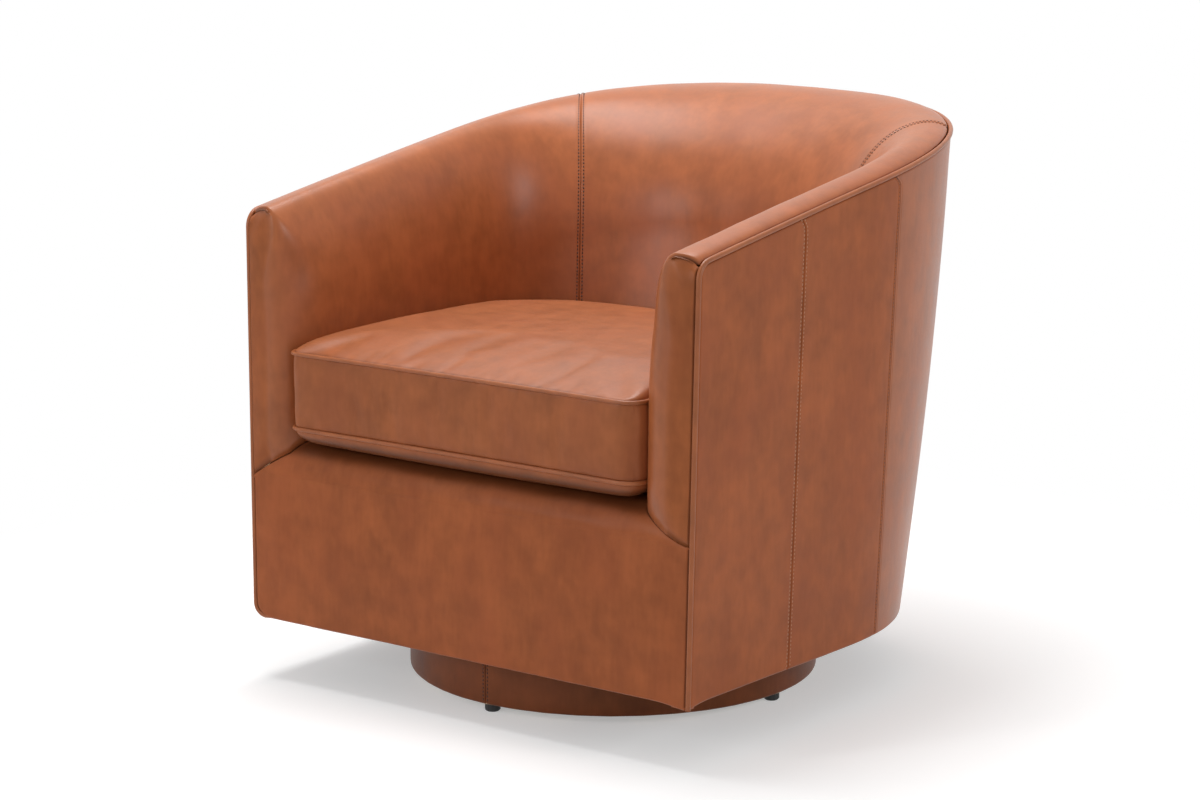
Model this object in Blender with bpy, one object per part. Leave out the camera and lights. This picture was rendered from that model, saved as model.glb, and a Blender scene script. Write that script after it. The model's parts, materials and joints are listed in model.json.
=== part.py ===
"""Leather barrel chair on a swivel base, built piece by piece as an upholsterer would put it together.

Frame: metres, +Z up, the sitter faces -Y and +X is on the right of someone who looks at the chair from the front.
The origin is on the floor, under the middle of the chair's outline. The shell turns about an upright axis a little in
front of it, and every function below works from a point on the floor on that axis.
"""

from collections import namedtuple
from math import cos, floor, pi, radians, sin, sqrt

import bmesh
import bpy
from mathutils import Vector

# Clearances
TOUCH = 0.0004
LOOSE = 0.0010

# Place of the turning axis, in front of the origin
AXIS_FORWARD = 0.0699

# Shell, outside of the leather
BODY_BOTTOM = 0.084
FRONT_WIDTH = 0.726
SIDE_BOW = 0.0071
SIDE_FLARE = 0.013
FRONT_REACH = 0.332
FRONT_LEAN = 0.0147
TURN = 0.0355
TURN_LEAN = 0.045
BACK_REACH_LOW = 0.379
BACK_REACH_HIGH = 0.4765
BACK_BELLY = 0.0225
CURVE_LOW = 2.25
CURVE_HIGH = 2.60
ARM_WELT_HEIGHT = 0.6365
BACK_WELT_HEIGHT = 0.7545
RIM_ARCH = 0.0030

# Inside of the shell
ARM_THICKNESS = 0.0800
SEAT_REACH = 0.216
INSIDE_LEAN = 0.19
CURVE_INSIDE = 2.5
ROLL_RISE = 0.0115
ROLL_CREST = 0.034
ROLL_EDGE = 0.0062
ROLL_DROP = 0.180
ARM_CORNER = 0.022

# Sewn joins, as stations along the shell: 0 is the middle of the back, 1 where the arm starts, 2 its front
INSIDE_JOIN = 0.55
OUTSIDE_JOINS = (0.90, 1.41)
JOIN_GAP = 0.0005

# Leather, backing and piping
HIDE = 0.0016
BACKING = 0.0040
BACKING_SET_DOWN = 0.012
LAYER_GAP = 0.0006
FRAME_GAP = 0.0018
WELT_RADIUS = 0.0034
WELT_CORNER = 0.018

# Timber frame
TIMBER = 0.022
RING_BOARD = 0.018
RING_WIDTH = 0.052
POST_WIDTH = 0.046
TOP_RAIL_DEPTH = 0.045
TOP_RAIL_SET_DOWN = 0.022
RING_LIFT = 0.0025
FRONT_RAIL_SET_DOWN = 0.003
SWIVEL_BOARD_LENGTH = 0.664
SWIVEL_BOARD_WIDTH = 0.300

# Seat
DECK_HEIGHT = 0.3330
DECK_STACK = 0.0450
NOSE_RADIUS = 0.026
NOSE_RUN = 0.090
FRONT_PAD = 0.010
MITRE_DROP = 0.0230
SPRING_COUNT = 4
SPRING_SPACING = 0.116
SPRING_WIRE = 0.0036
SPRING_SWING = 0.034
SPRING_BENDS = 13
SPRING_CROWN = 0.007

# Cushion
CUSHION_WIDTH = 0.5690
CUSHION_FRONT = 0.3380
CUSHION_BACK = 0.2180
CUSHION_CORNER = 0.016
LOW_WELT_RISE = 0.0240
BOXING_HEIGHT = 0.1015
CROWN = 0.026
DRAW_IN = 0.003
BOXING_BULGE = 0.0025
BOXING_ROWS = 4
BOXING_JOIN_GAP = 0.01
CROWN_SHARES = (0.06, 0.4, 0.7, 0.88, 1.0)
CROWN_POWER = 2.4
UNDER_POWER = 5.0
HEM_INSET = 0.0012
CUSHION_WELT = 0.0027

# Base
PLINTH_RADIUS = 0.280
PLINTH_BOTTOM = 0.0115
PLINTH_TOP = 0.0745
HOOP_THICKNESS = 0.024
BOARD_THICKNESS = 0.015
PLINTH_STEPS = 40
GLIDE_RADIUS = 0.0105
GLIDE_INSET = 0.0155
GLIDE_BEVEL = 0.002
DUST_COVER = 0.0010
DUST_HOLE = 0.192
DUST_MARGIN = 0.012

# Swivel bearing
PLATE_HALF = 0.130
PLATE_THICKNESS = 0.0030
PLATE_BORE = 0.055
BOLT_SPREAD = 0.108
BOLT_HEAD_RADIUS = 0.0075
BOLT_HEAD = 0.0030
BOLT_RADIUS = 0.0030
BOLT_GRIP = 0.010
BOLT_CLEARANCE = 0.0008
BOLT_SIDES = 10
RACE_RADIUS = 0.085
RACE_WIDTH = 0.018
BALL_RADIUS = 0.0040
BALL_COUNT = 14
CAGE_RADIUS = 0.0014

# Colours from the photograph, as linear values
COGNAC = (0.352, 0.122, 0.047, 1.0)
PIPING = (0.300, 0.100, 0.040, 1.0)
PLY = (0.58, 0.40, 0.23, 1.0)
FOAM = (0.80, 0.74, 0.56, 1.0)
FELT = (0.30, 0.29, 0.27, 1.0)
CAMBRIC = (0.018, 0.018, 0.018, 1.0)
STEEL = (0.46, 0.46, 0.45, 1.0)
NYLON = (0.012, 0.012, 0.012, 1.0)

# How finely the curved pieces are cut
BACK_STEPS = 5
SIDE_STEPS = 4
HEIGHT_STEPS = 5
ROLL_STEPS = 6
CORD_SIDES = 6

# Stations that every layer of the wall shares, the sewn joins among them
NEAR_JOIN, FAR_JOIN = OUTSIDE_JOINS
BACK_STATIONS = tuple(INSIDE_JOIN * step / BACK_STEPS for step in range(BACK_STEPS + 1))
SIDE_STRETCH = NEAR_JOIN - INSIDE_JOIN
SIDE_STATIONS = tuple(INSIDE_JOIN + SIDE_STRETCH * step / SIDE_STEPS for step in range(1, SIDE_STEPS + 1))
ARM_STATIONS = (1.0, (1.0 + FAR_JOIN) / 2, FAR_JOIN, (FAR_JOIN + 2.0) / 2)
SHARED_STATIONS = BACK_STATIONS + SIDE_STATIONS + ARM_STATIONS

# Heights and depths that several pieces share
FRAME_DEPTH = HIDE + LAYER_GAP + BACKING + FRAME_GAP
PAD_DEPTH = FRAME_DEPTH + TIMBER + FRAME_GAP
SEAT_RING_TOP = DECK_HEIGHT - DECK_STACK
MITRE_HEIGHT = DECK_HEIGHT - NOSE_RADIUS - MITRE_DROP
CUSHION_LOW_WELT = DECK_HEIGHT + LOW_WELT_RISE
RING_BOTTOM = BODY_BOTTOM + RING_LIFT
RING_TOP = RING_BOTTOM + RING_BOARD
BOARD_BOTTOM = RING_TOP + TOUCH
FRONT_RAIL_DEPTH = HIDE + FRONT_PAD + 2 * TOUCH
FRONT_RAIL_TOP = SEAT_RING_TOP - FRONT_RAIL_SET_DOWN
DECK_PAD_BOTTOM = SEAT_RING_TOP + 2 * TOUCH + SPRING_WIRE + SPRING_CROWN + TOUCH
PLATE_RISE = (BOARD_BOTTOM - PLINTH_TOP - 4 * TOUCH - 2 * PLATE_THICKNESS - 2 * BALL_RADIUS) / 2
BALL_HEIGHT = (BOARD_BOTTOM + PLINTH_TOP) / 2

Outline = namedtuple("Outline", "front_half side_half front turn back curve")


def clear_scene():
    for item in list(bpy.data.objects):
        bpy.data.objects.remove(item, do_unlink=True)


def finish(name, colour, roughness, metallic=0.0):
    made = bpy.data.materials.new(name)
    made.use_nodes = True
    shader = made.node_tree.nodes["Principled BSDF"]
    shader.inputs["Base Color"].default_value = colour
    shader.inputs["Roughness"].default_value = roughness
    shader.inputs["Metallic"].default_value = metallic
    return made


def place(name, bm, material, parent, origin=(0.0, 0.0, 0.0), sharp=40):
    """Turns a bmesh, measured from the turning axis, into a named object with its origin where it is asked for."""
    bmesh.ops.recalc_face_normals(bm, faces=bm.faces)
    bmesh.ops.translate(bm, verts=bm.verts, vec=-Vector(origin))
    mesh = bpy.data.meshes.new(name)
    bm.to_mesh(mesh)
    bm.free()
    mesh.materials.append(material)
    mesh.shade_smooth()
    mesh.set_sharp_from_angle(angle=radians(sharp))
    made = bpy.data.objects.new(name, mesh)
    bpy.context.collection.objects.link(made)
    made.parent = parent
    made.location = Vector(origin)
    return made


def empty(name, parent=None):
    """A parent on the swivel's axis, which every joint here turns about or slides along."""
    made = bpy.data.objects.new(name, None)
    bpy.context.collection.objects.link(made)
    made.parent = parent
    return made


# Solids from outlines

def nearest(point, ring):
    return min(range(len(ring)), key=lambda index: (ring[index] - point).length_squared)


def split_quads(bm, order):
    """Cuts each side face the same way, up from one outline to the next, so that layers nest without touching."""
    sides = [face for face in bm.faces if len(face.verts) == 4]
    for face in [face for face in sides if len({order[vert] for vert in face.verts}) == 2]:
        ring = min(order[vert] for vert in face.verts)
        start = min((vert for vert in face.verts if order[vert] == ring), key=lambda vert: vert.co.z)
        ends = [vert for vert in face.verts if order[vert] != ring]
        joined = {edge.other_vert(start) for edge in start.link_edges}
        bmesh.utils.face_split(face, start, next(vert for vert in ends if vert not in joined))


def sweep(rings, closed=False):
    """Extrudes the first outline through all the others; a closed sweep joins its last outline to its first."""
    bm = bmesh.new()
    first = face = bm.faces.new([bm.verts.new(point) for point in rings[0]])
    order = {vert: 0 for vert in face.verts}
    for number, (before, ring) in enumerate(zip(rings, rings[1:]), 1):
        grown = bmesh.ops.extrude_face_region(bm, geom=[face])["geom"]
        if face is not first:
            bmesh.ops.delete(bm, geom=[face], context="FACES_ONLY")
        face = next(item for item in grown if isinstance(item, bmesh.types.BMFace))
        places = [nearest(vert.co, before) for vert in face.verts]
        for vert, index in zip(list(face.verts), places):
            vert.co = ring[index]
            order[vert] = number
    if closed:
        edges = list(first.edges) + list(face.edges)
        bmesh.ops.delete(bm, geom=[first, face], context="FACES_ONLY")
        bmesh.ops.bridge_loops(bm, edges=edges)
    split_quads(bm, order)
    return bm


def turned(profile, steps, centre=(0.0, 0.0)):
    """Spins an open or closed (radius, height) profile a full turn about an upright axis."""
    bm = bmesh.new()
    verts = [bm.verts.new((centre[0] + radius, centre[1], height)) for radius, height in profile]
    pairs = list(zip(verts, verts[1:]))
    if min(radius for radius, height in profile) > 0:
        pairs.append((verts[-1], verts[0]))
    edges = [bm.edges.new(pair) for pair in pairs]
    bmesh.ops.spin(bm, geom=verts + edges, cent=(centre[0], centre[1], 0.0), axis=(0.0, 0.0, 1.0),
                   angle=2 * pi, steps=steps, use_merge=True)
    bmesh.ops.remove_doubles(bm, verts=bm.verts, dist=0.00001)
    return bm


def tube(path, radius, sides, closed=False):
    """A round cord along a path, its outline carried along so that it never twists."""
    count = len(path)
    rings = []
    side = None
    for index, point in enumerate(path):
        ahead = path[(index + 1) % count] if closed or index + 1 < count else point
        behind = path[index - 1] if closed or index else point
        along = (ahead - behind).normalized()
        if side is None:
            side = along.cross(Vector((0.0, 0.0, 1.0)))
            side = along.cross(Vector((0.0, 1.0, 0.0))) if side.length < 0.2 else side
        side = (side - side.dot(along) * along).normalized()
        lift = along.cross(side)
        turns = [2 * pi * (step + 0.5) / sides for step in range(sides)]
        rings.append([point + radius * (cos(turn) * side + sin(turn) * lift) for turn in turns])
    return sweep(rings, closed)


def block(low, high):
    """A box between two corners."""
    bm = bmesh.new()
    made = bmesh.ops.create_cube(bm, size=1.0)["verts"]
    size = Vector(high) - Vector(low)
    bmesh.ops.scale(bm, verts=made, vec=size)
    bmesh.ops.translate(bm, verts=made, vec=(Vector(high) + Vector(low)) / 2)
    return bm


def drilled(target, centres, radius, low, high):
    """Cuts round holes through an object with one hidden cutter."""
    bm = bmesh.new()
    for centre in centres:
        made = bmesh.ops.create_cone(bm, cap_ends=True, segments=BOLT_SIDES, radius1=radius, radius2=radius,
                                     depth=high - low)["verts"]
        bmesh.ops.translate(bm, verts=made, vec=(centre[0], centre[1], (low + high) / 2))
    cutter = place(target.name + "_holes", bm, target.data.materials[0], target.parent)
    cutter.hide_render = True
    cutter.display_type = "WIRE"
    cut = target.modifiers.new("screw holes", "BOOLEAN")
    cut.operation = "DIFFERENCE"
    cut.solver = "EXACT"
    cut.object = cutter


# Plan of the shell

def blend(low, high, share):
    return low + (high - low) * share


def even(low, high, count):
    return [blend(low, high, step / (count - 1)) for step in range(count)]


def front_face(height):
    return -FRONT_REACH + FRONT_LEAN * (height - BODY_BOTTOM)


def front_half(height):
    return FRONT_WIDTH / 2 + SIDE_FLARE * (height - BODY_BOTTOM)


def outside_at(height):
    """The plan outline of the outer leather at a height."""
    rise = height - BODY_BOTTOM
    share = rise / (BACK_WELT_HEIGHT - BODY_BOTTOM)
    belly = 4 * BACK_BELLY * share * (1 - share)
    return Outline(front_half(height), front_half(height) + SIDE_BOW, front_face(height), TURN + TURN_LEAN * rise,
                   blend(BACK_REACH_LOW, BACK_REACH_HIGH, share) + belly, blend(CURVE_LOW, CURVE_HIGH, share))


def inside_at(height, roll_start):
    """The plan outline of the inner leather, which stops leaning where the roll over the top starts."""
    half = front_half(DECK_HEIGHT) - ARM_THICKNESS
    turn = TURN + TURN_LEAN * (height - BODY_BOTTOM)
    back = SEAT_REACH + INSIDE_LEAN * (min(height, roll_start) - DECK_HEIGHT)
    lag = TURN_LEAN * max(0.0, height - roll_start)
    return Outline(half, half, front_face(height), turn, back + lag, CURVE_INSIDE)


def foot_and_way(shape, station):
    """Where a station's section plane starts on the middle plane, and the way that it points in plan."""
    hand = 1 if station >= 0 else -1
    reach = abs(station)
    if reach > 1:
        return Vector((0.0, blend(shape.turn, shape.front, reach - 1))), Vector((hand, 0.0))
    angle = reach * pi / 2
    return Vector((0.0, shape.turn)), Vector((hand * sin(angle), cos(angle)))


def reach_of(shape, station):
    """The distance along a station's plane from the middle plane to the outline."""
    share = abs(station)
    if share > 1:
        return blend(shape.side_half, shape.front_half, share - 1)
    angle = share * pi / 2
    across = (sin(angle) / shape.side_half) ** shape.curve
    back = (cos(angle) / (shape.back - shape.turn)) ** shape.curve
    return (across + back) ** (-1 / shape.curve)


def rim(station):
    """Height of the piping's middle along the top edge."""
    top = outside_at(BACK_WELT_HEIGHT)
    foot, way = foot_and_way(top, station)
    along = foot.y + way.y * reach_of(top, station)
    share = (along - top.front) / (top.back - top.front)
    return blend(ARM_WELT_HEIGHT, BACK_WELT_HEIGHT, share) + 4 * RIM_ARCH * share * (1 - share)


def at_reach(station, height, reach):
    foot, way = foot_and_way(outside_at(height), station)
    plan = foot + way * reach
    return Vector((plan.x, plan.y, height))


def outer(station, height, depth):
    """A point a depth in from the outer leather."""
    return at_reach(station, height, reach_of(outside_at(height), station) - depth)


def inner_reach(station, height):
    return reach_of(inside_at(height, rim(station) - ROLL_DROP), station)


def arm_end(depth):
    """The station a depth behind the front of the arm."""
    return 2.0 - depth / (TURN + FRONT_REACH)


def stations(start, end, extra=()):
    """Every shared station between two, so that neighbouring layers have parallel faces."""
    low, high = min(start, end), max(start, end)
    shared = [hand * reach for reach in SHARED_STATIONS + tuple(extra) for hand in (1, -1)]
    margin = 0.004
    return sorted({low, high} | {round(value, 6) for value in shared if low + margin < value < high - margin})


def edge_height(station, below):
    """Height a distance under the piping's middle, which turns down in a round corner at the front of the arm."""
    depth = (2.0 - abs(station)) * (TURN + FRONT_REACH) - WELT_RADIUS
    if depth >= WELT_CORNER:
        return rim(station) - below
    radius = WELT_CORNER - below
    run = min(WELT_CORNER - depth, radius)
    return rim(station) - WELT_CORNER + sqrt(radius ** 2 - run ** 2)


def corner_stations(first):
    """Stations that follow the round corners at the front of the arm."""
    depths = [ARM_CORNER * share for share in (0.16, 0.34, 0.6, 1.0)]
    return [arm_end(depth) for depth in depths if depth > first]


# Outside covers, backing and piping

def outside_section(station, depth, thickness, low, below):
    heights = even(low, edge_height(station, below), HEIGHT_STEPS + 1)
    faces_out = [outer(station, height, depth) for height in heights]
    faces_in = [outer(station, height, depth + thickness) for height in reversed(heights)]
    return faces_out + faces_in


def outside_covers(hide, shell):
    front = arm_end(2 * WELT_RADIUS + TOUCH)
    spans = {
        "outer_cover_right_front": (FAR_JOIN + JOIN_GAP, front),
        "outer_cover_right": (NEAR_JOIN + JOIN_GAP, FAR_JOIN - JOIN_GAP),
        "outer_cover_back": (-NEAR_JOIN + JOIN_GAP, NEAR_JOIN - JOIN_GAP),
        "outer_cover_left": (-FAR_JOIN + JOIN_GAP, -NEAR_JOIN - JOIN_GAP),
        "outer_cover_left_front": (-front, -FAR_JOIN - JOIN_GAP),
    }
    extra = corner_stations(2 * WELT_RADIUS + TOUCH)
    for name, (start, end) in spans.items():
        rings = [outside_section(station, 0.0, HIDE, BODY_BOTTOM, WELT_RADIUS + 2 * TOUCH)
                 for station in stations(start, end, extra)]
        place(name, sweep(rings), hide, shell)


def outer_backing(felt, shell):
    set_back = WELT_RADIUS + BACKING_SET_DOWN + TOUCH
    front = arm_end(set_back)
    extra = corner_stations(set_back)
    rings = [outside_section(station, HIDE + LAYER_GAP, BACKING, BODY_BOTTOM + BACKING, BACKING_SET_DOWN)
             for station in stations(-front, front, extra)]
    place("outer_backing", sweep(rings), felt, shell)


def edge_path():
    """The piping's path: up the right front edge, round the corner, along the rim and down the left."""
    sink = 0.2 * WELT_RADIUS
    top = rim(2.0) - WELT_CORNER
    half = [Vector((front_half(height) - sink, front_face(height) + WELT_RADIUS, height))
            for height in even(BODY_BOTTOM + LOOSE, top, HEIGHT_STEPS + 1)]
    for step in (1, 2, 3):
        turn = pi / 2 * step / 3
        station = arm_end(WELT_RADIUS + WELT_CORNER * (1 - cos(turn)))
        half.append(outer(station, rim(station) - WELT_CORNER * (1 - sin(turn)), sink))
    last = arm_end(WELT_RADIUS + WELT_CORNER)
    half += [outer(station, rim(station), sink) for station in reversed(stations(0.0, last - 0.02))]
    mirrored = [Vector((-point.x, point.y, point.z)) for point in reversed(half[:-1])]
    return half + mirrored


# Inside covers and padding

def corner_in(station):
    """How far the inner leather draws back into the arm as it rounds the front corner."""
    depth = (2.0 - abs(station)) * (TURN + FRONT_REACH)
    if depth >= ARM_CORNER:
        return 0.0
    return ARM_CORNER - sqrt(ARM_CORNER ** 2 - (ARM_CORNER - depth) ** 2)


def inside_line(station, sink, low):
    """The inner leather from the deck up, then over the roll to the crest, a depth under its surface."""
    top = rim(station)
    start = top - ROLL_DROP
    back_off = corner_in(station)
    rows = (low, DECK_HEIGHT + LOOSE, blend(DECK_HEIGHT, start, 0.5), start)
    line = [at_reach(station, height, inner_reach(station, height) + sink + back_off) for height in rows]
    foot = inner_reach(station, start) + sink + back_off
    head = reach_of(outside_at(top), station) - ROLL_CREST
    drop = ROLL_DROP + ROLL_RISE - sink
    for step in range(1, ROLL_STEPS):
        turn = pi / 2 * step / (ROLL_STEPS - 1)
        line.append(at_reach(station, start + drop * sin(turn), blend(head, foot, cos(turn))))
    line.append(outer(station, edge_height(station, -0.9 * ROLL_RISE) - sink, 0.5 * ROLL_CREST))
    line.append(outer(station, edge_height(station, -0.6 * ROLL_RISE) - 0.7 * sink, ROLL_EDGE + 0.4 * sink))
    return line


def cover_section(station):
    low = DECK_PAD_BOTTOM
    return inside_line(station, 0.0, low) + list(reversed(inside_line(station, HIDE, low)))


def pad_section(station):
    low = DECK_PAD_BOTTOM
    rail_top = rim(station) - TOP_RAIL_SET_DOWN + TOUCH
    edge = HIDE + LAYER_GAP + BACKING + LOOSE
    line = inside_line(station, HIDE + LAYER_GAP, low)
    below = 4 * LOOSE
    shoulder = min(edge_height(station, below), rim(station) - below)
    line += [outer(station, max(shoulder, rail_top + 2 * LOOSE), edge), outer(station, rail_top, edge)]
    line += [outer(station, height, PAD_DEPTH) for height in even(rail_top, low, 4)]
    return line


INSIDE_SPANS = {
    "right": (INSIDE_JOIN + JOIN_GAP, arm_end(HIDE + TOUCH)),
    "back": (-INSIDE_JOIN + JOIN_GAP, INSIDE_JOIN - JOIN_GAP),
    "left": (-arm_end(HIDE + TOUCH), -INSIDE_JOIN - JOIN_GAP),
}


def inside_layers(hide, foam, shell):
    extra = corner_stations(HIDE + TOUCH)
    for side, (start, end) in INSIDE_SPANS.items():
        chosen = stations(start, end, extra)
        place("inner_cover_" + side, sweep([cover_section(station) for station in chosen]), hide, shell)
        place("inner_pad_" + side, sweep([pad_section(station) for station in chosen]), foam, shell)


# Front of the shell, cut flat as the leather is and then bent

def front_bend(across, along, sink):
    """Bends a flat pattern point up the front, over the nose and back under the cushion."""
    rise = DECK_HEIGHT - NOSE_RADIUS - BODY_BOTTOM
    quarter = NOSE_RADIUS * pi / 2
    if along <= rise:
        height = BODY_BOTTOM + along
        return Vector((across, front_face(height) + sink, height))
    base = front_face(DECK_HEIGHT)
    turn = min((along - rise) / NOSE_RADIUS, pi / 2)
    run = max(0.0, along - rise - quarter)
    radius = NOSE_RADIUS - sink
    centre = Vector((across, base + NOSE_RADIUS, DECK_HEIGHT - NOSE_RADIUS))
    return centre + Vector((0.0, run - radius * cos(turn), radius * sin(turn)))


def bent_sheet(corners, cuts):
    """Cuts a flat pattern across at each bend line, bends it, and gives it the thickness of the hide."""
    bm = bmesh.new()
    bm.faces.new([bm.verts.new((across, along, 0.0)) for across, along in corners])
    for cut in cuts:
        bmesh.ops.bisect_plane(bm, geom=bm.verts[:] + bm.edges[:] + bm.faces[:], plane_co=(0.0, cut, 0.0),
                               plane_no=(0.0, 1.0, 0.0))
    flat = {vert: (vert.co.x, vert.co.y) for vert in bm.verts}
    grown = bmesh.ops.extrude_face_region(bm, geom=bm.faces[:])["geom"]
    raised = [item for item in grown if isinstance(item, bmesh.types.BMVert)]
    lifted = {vert: (vert.co.x, vert.co.y) for vert in raised}
    for vert, (across, along) in flat.items():
        vert.co = front_bend(across, along, 0.0)
    for vert, (across, along) in lifted.items():
        vert.co = front_bend(across, along, HIDE)
    return bm


def front_edge(height):
    """Where the front leather stops beside the piping."""
    return front_half(height) - 1.2 * WELT_RADIUS - TOUCH


def front_cover(hide, shell):
    rise = DECK_HEIGHT - NOSE_RADIUS - BODY_BOTTOM
    quarter = NOSE_RADIUS * pi / 2
    arm = front_half(DECK_HEIGHT) - ARM_THICKNESS - LOOSE
    half = [(front_edge(BODY_BOTTOM), 0.0), (front_edge(MITRE_HEIGHT), MITRE_HEIGHT - BODY_BOTTOM - TOUCH),
            (arm, rise - TOUCH), (arm, rise + quarter + NOSE_RUN - NOSE_RADIUS)]
    corners = half + [(-across, along) for across, along in reversed(half)]
    cuts = [rise + quarter * share for share in (0.0, 0.25, 0.5, 0.75, 1.0)]
    place("front_cover", bent_sheet(corners, cuts), hide, shell, sharp=50)


def arm_facings(hide, shell):
    """The leather on the front of each arm, mitred to the front cover below it."""
    top = inside_line(arm_end(0.0), 0.0, DECK_HEIGHT - NOSE_RADIUS + LOOSE)
    shape = [Vector((front_edge(MITRE_HEIGHT), 0.0, MITRE_HEIGHT + TOUCH))]
    shape += [Vector((point.x, 0.0, point.z)) for point in top]
    corner = edge_height(2.0, 0.0)
    shape.append(Vector((front_edge(corner), 0.0, corner - 2 * WELT_RADIUS)))
    for side, hand in (("right", 1), ("left", -1)):
        rings = [[Vector((hand * point.x, front_face(point.z) + depth, point.z)) for point in shape]
                 for depth in (0.0, HIDE)]
        place("arm_facing_" + side, sweep(rings), hide, shell)


def front_pad(foam, shell):
    """Foam over the front rail, rounded over the top into the nose."""
    sink = HIDE + TOUCH
    rise = DECK_HEIGHT - NOSE_RADIUS - BODY_BOTTOM
    quarter = NOSE_RADIUS * pi / 2
    low = RING_TOP + LOOSE
    along = [low - BODY_BOTTOM] + [rise + quarter * share for share in (0.0, 0.25, 0.5, 0.75, 1.0)]
    along.append(rise + quarter + NOSE_RUN - NOSE_RADIUS)
    half = front_half(DECK_HEIGHT) - ARM_THICKNESS - LOOSE
    rings = []
    for across in (-half, half):
        ring = [front_bend(across, value, sink) for value in along]
        back_y = ring[-1].y
        step_y = front_face(FRONT_RAIL_TOP) + FRONT_RAIL_DEPTH + TIMBER
        ring += [Vector((across, back_y, DECK_PAD_BOTTOM)), Vector((across, step_y, DECK_PAD_BOTTOM)),
                 Vector((across, step_y, FRONT_RAIL_TOP + TOUCH)),
                 Vector((across, front_face(FRONT_RAIL_TOP) + HIDE + TOUCH + FRONT_PAD, FRONT_RAIL_TOP + TOUCH)),
                 Vector((across, front_face(low) + HIDE + TOUCH + FRONT_PAD, low))]
        rings.append(ring)
    place("front_pad", sweep(rings), foam, shell)


# Timber frame

def ring_board(name, depth, front_depth, low, high, material, shell):
    """A flat board cut to the plan of the shell, with mitred corners at the front."""
    rings = []
    end = arm_end(front_depth + RING_WIDTH)
    for station in stations(-end, end):
        rings.append([outer(station, low, depth), outer(station, high, depth),
                      outer(station, high, depth + RING_WIDTH), outer(station, low, depth + RING_WIDTH)])
    for ring in (rings[0], rings[-1]):
        for index, height in ((0, low), (1, high)):
            ring[index] = Vector((ring[index].x, front_face(height) + front_depth, height))
        for index, height in ((2, high), (3, low)):
            ring[index] = Vector((ring[index].x, front_face(height) + front_depth + RING_WIDTH, height))
    return place(name, sweep(rings, closed=True), material, shell)


def rail_section(station):
    top = rim(station) - TOP_RAIL_SET_DOWN
    return [outer(station, top, FRAME_DEPTH), outer(station, top - TOP_RAIL_DEPTH, FRAME_DEPTH),
            outer(station, top - TOP_RAIL_DEPTH, FRAME_DEPTH + TIMBER), outer(station, top, FRAME_DEPTH + TIMBER)]


def post(name, start, end, low, material, shell):
    """An upright between the bottom ring and a top rail, leaning with the wall."""
    rings = []
    for share in even(0.0, 1.0, HEIGHT_STEPS + 1):
        ring = []
        outside = FRAME_DEPTH + 2 * TOUCH
        for station, depth in ((start, outside), (end, outside), (end, outside + TIMBER), (start, outside + TIMBER)):
            top = rim(station) - TOP_RAIL_SET_DOWN - TOP_RAIL_DEPTH - TOUCH
            ring.append(outer(station, blend(low, top, share), depth))
        rings.append(ring)
    place(name, sweep(rings), material, shell)


def timber_frame(ply, shell):
    ring_board("bottom_ring", FRAME_DEPTH, FRONT_RAIL_DEPTH, RING_BOTTOM, RING_TOP, ply, shell)
    ring_board("seat_ring", PAD_DEPTH + TOUCH, FRONT_RAIL_DEPTH + TIMBER + TOUCH, SEAT_RING_TOP - RING_BOARD,
               SEAT_RING_TOP, ply, shell)
    front = arm_end(HIDE + 2 * TOUCH)
    post_end = arm_end(HIDE + 2 * TOUCH + POST_WIDTH)
    rear = BACK_STATIONS[-2:]
    low = RING_TOP + TOUCH
    for side, hand in (("right", 1), ("left", -1)):
        post("front_post_" + side, hand * front, hand * post_end, low, ply, shell)
        post("rear_post_" + side, hand * rear[0], hand * rear[1], low, ply, shell)
        rings = [rail_section(hand * station) for station in stations(INSIDE_JOIN + JOIN_GAP, front)]
        place("arm_rail_" + side, sweep(rings), ply, shell)
    rings = [rail_section(station) for station in stations(-INSIDE_JOIN + JOIN_GAP, INSIDE_JOIN - JOIN_GAP)]
    place("back_rail", sweep(rings), ply, shell)
    half = front_half(RING_TOP) - FRAME_DEPTH - TIMBER - LOOSE
    rings = [[Vector((across, front_face(height) + FRONT_RAIL_DEPTH + depth, height))
              for height, depth in ((RING_TOP + TOUCH, 0.0), (FRONT_RAIL_TOP, 0.0), (FRONT_RAIL_TOP, TIMBER),
                                    (RING_TOP + TOUCH, TIMBER))] for across in (-half, half)]
    place("front_rail", sweep(rings), ply, shell)


def springs(steel, shell):
    """Sinuous springs from the front of the seat ring to its back."""
    start = front_face(SEAT_RING_TOP) + FRONT_RAIL_DEPTH + TIMBER + RING_WIDTH / 2
    radius = SPRING_WIRE / 2
    for number in range(SPRING_COUNT):
        middle = SPRING_SPACING * (number - (SPRING_COUNT - 1) / 2)
        edge = outside_at(SEAT_RING_TOP)
        across = (abs(middle) / edge.side_half) ** edge.curve
        end = edge.turn + (edge.back - edge.turn) * (1 - across) ** (1 / edge.curve) - PAD_DEPTH - 0.6 * RING_WIDTH
        path = []
        for share in even(0.0, 1.0, 3 * SPRING_BENDS + 1):
            swing = SPRING_SWING / 2 * sin(pi * SPRING_BENDS * share)
            lift = SPRING_CROWN * sin(pi * share)
            path.append(Vector((middle + swing, blend(start, end, share), SEAT_RING_TOP + TOUCH + radius + lift)))
        place("spring_" + str(number + 1), tube(path, radius, 5), steel, shell)


# Seat deck

def deck_plate(name, low, high, gap, front_gap, material, shell):
    """A board, pad or sheet cut to the inside of the shell."""
    rings = []
    for height in (low, high):
        front = front_face(DECK_HEIGHT) + NOSE_RUN + front_gap
        shape = inside_at(height, DECK_HEIGHT + ROLL_DROP)
        start = 1.0 + (shape.turn - front) / (shape.turn - shape.front)
        ring = []
        for station in [-start] + stations(-1.0, 1.0) + [start]:
            point = at_reach(station, height, reach_of(shape, station) - gap)
            ring.append(point)
        rings.append(ring)
    place(name, sweep(rings), material, shell)


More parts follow.
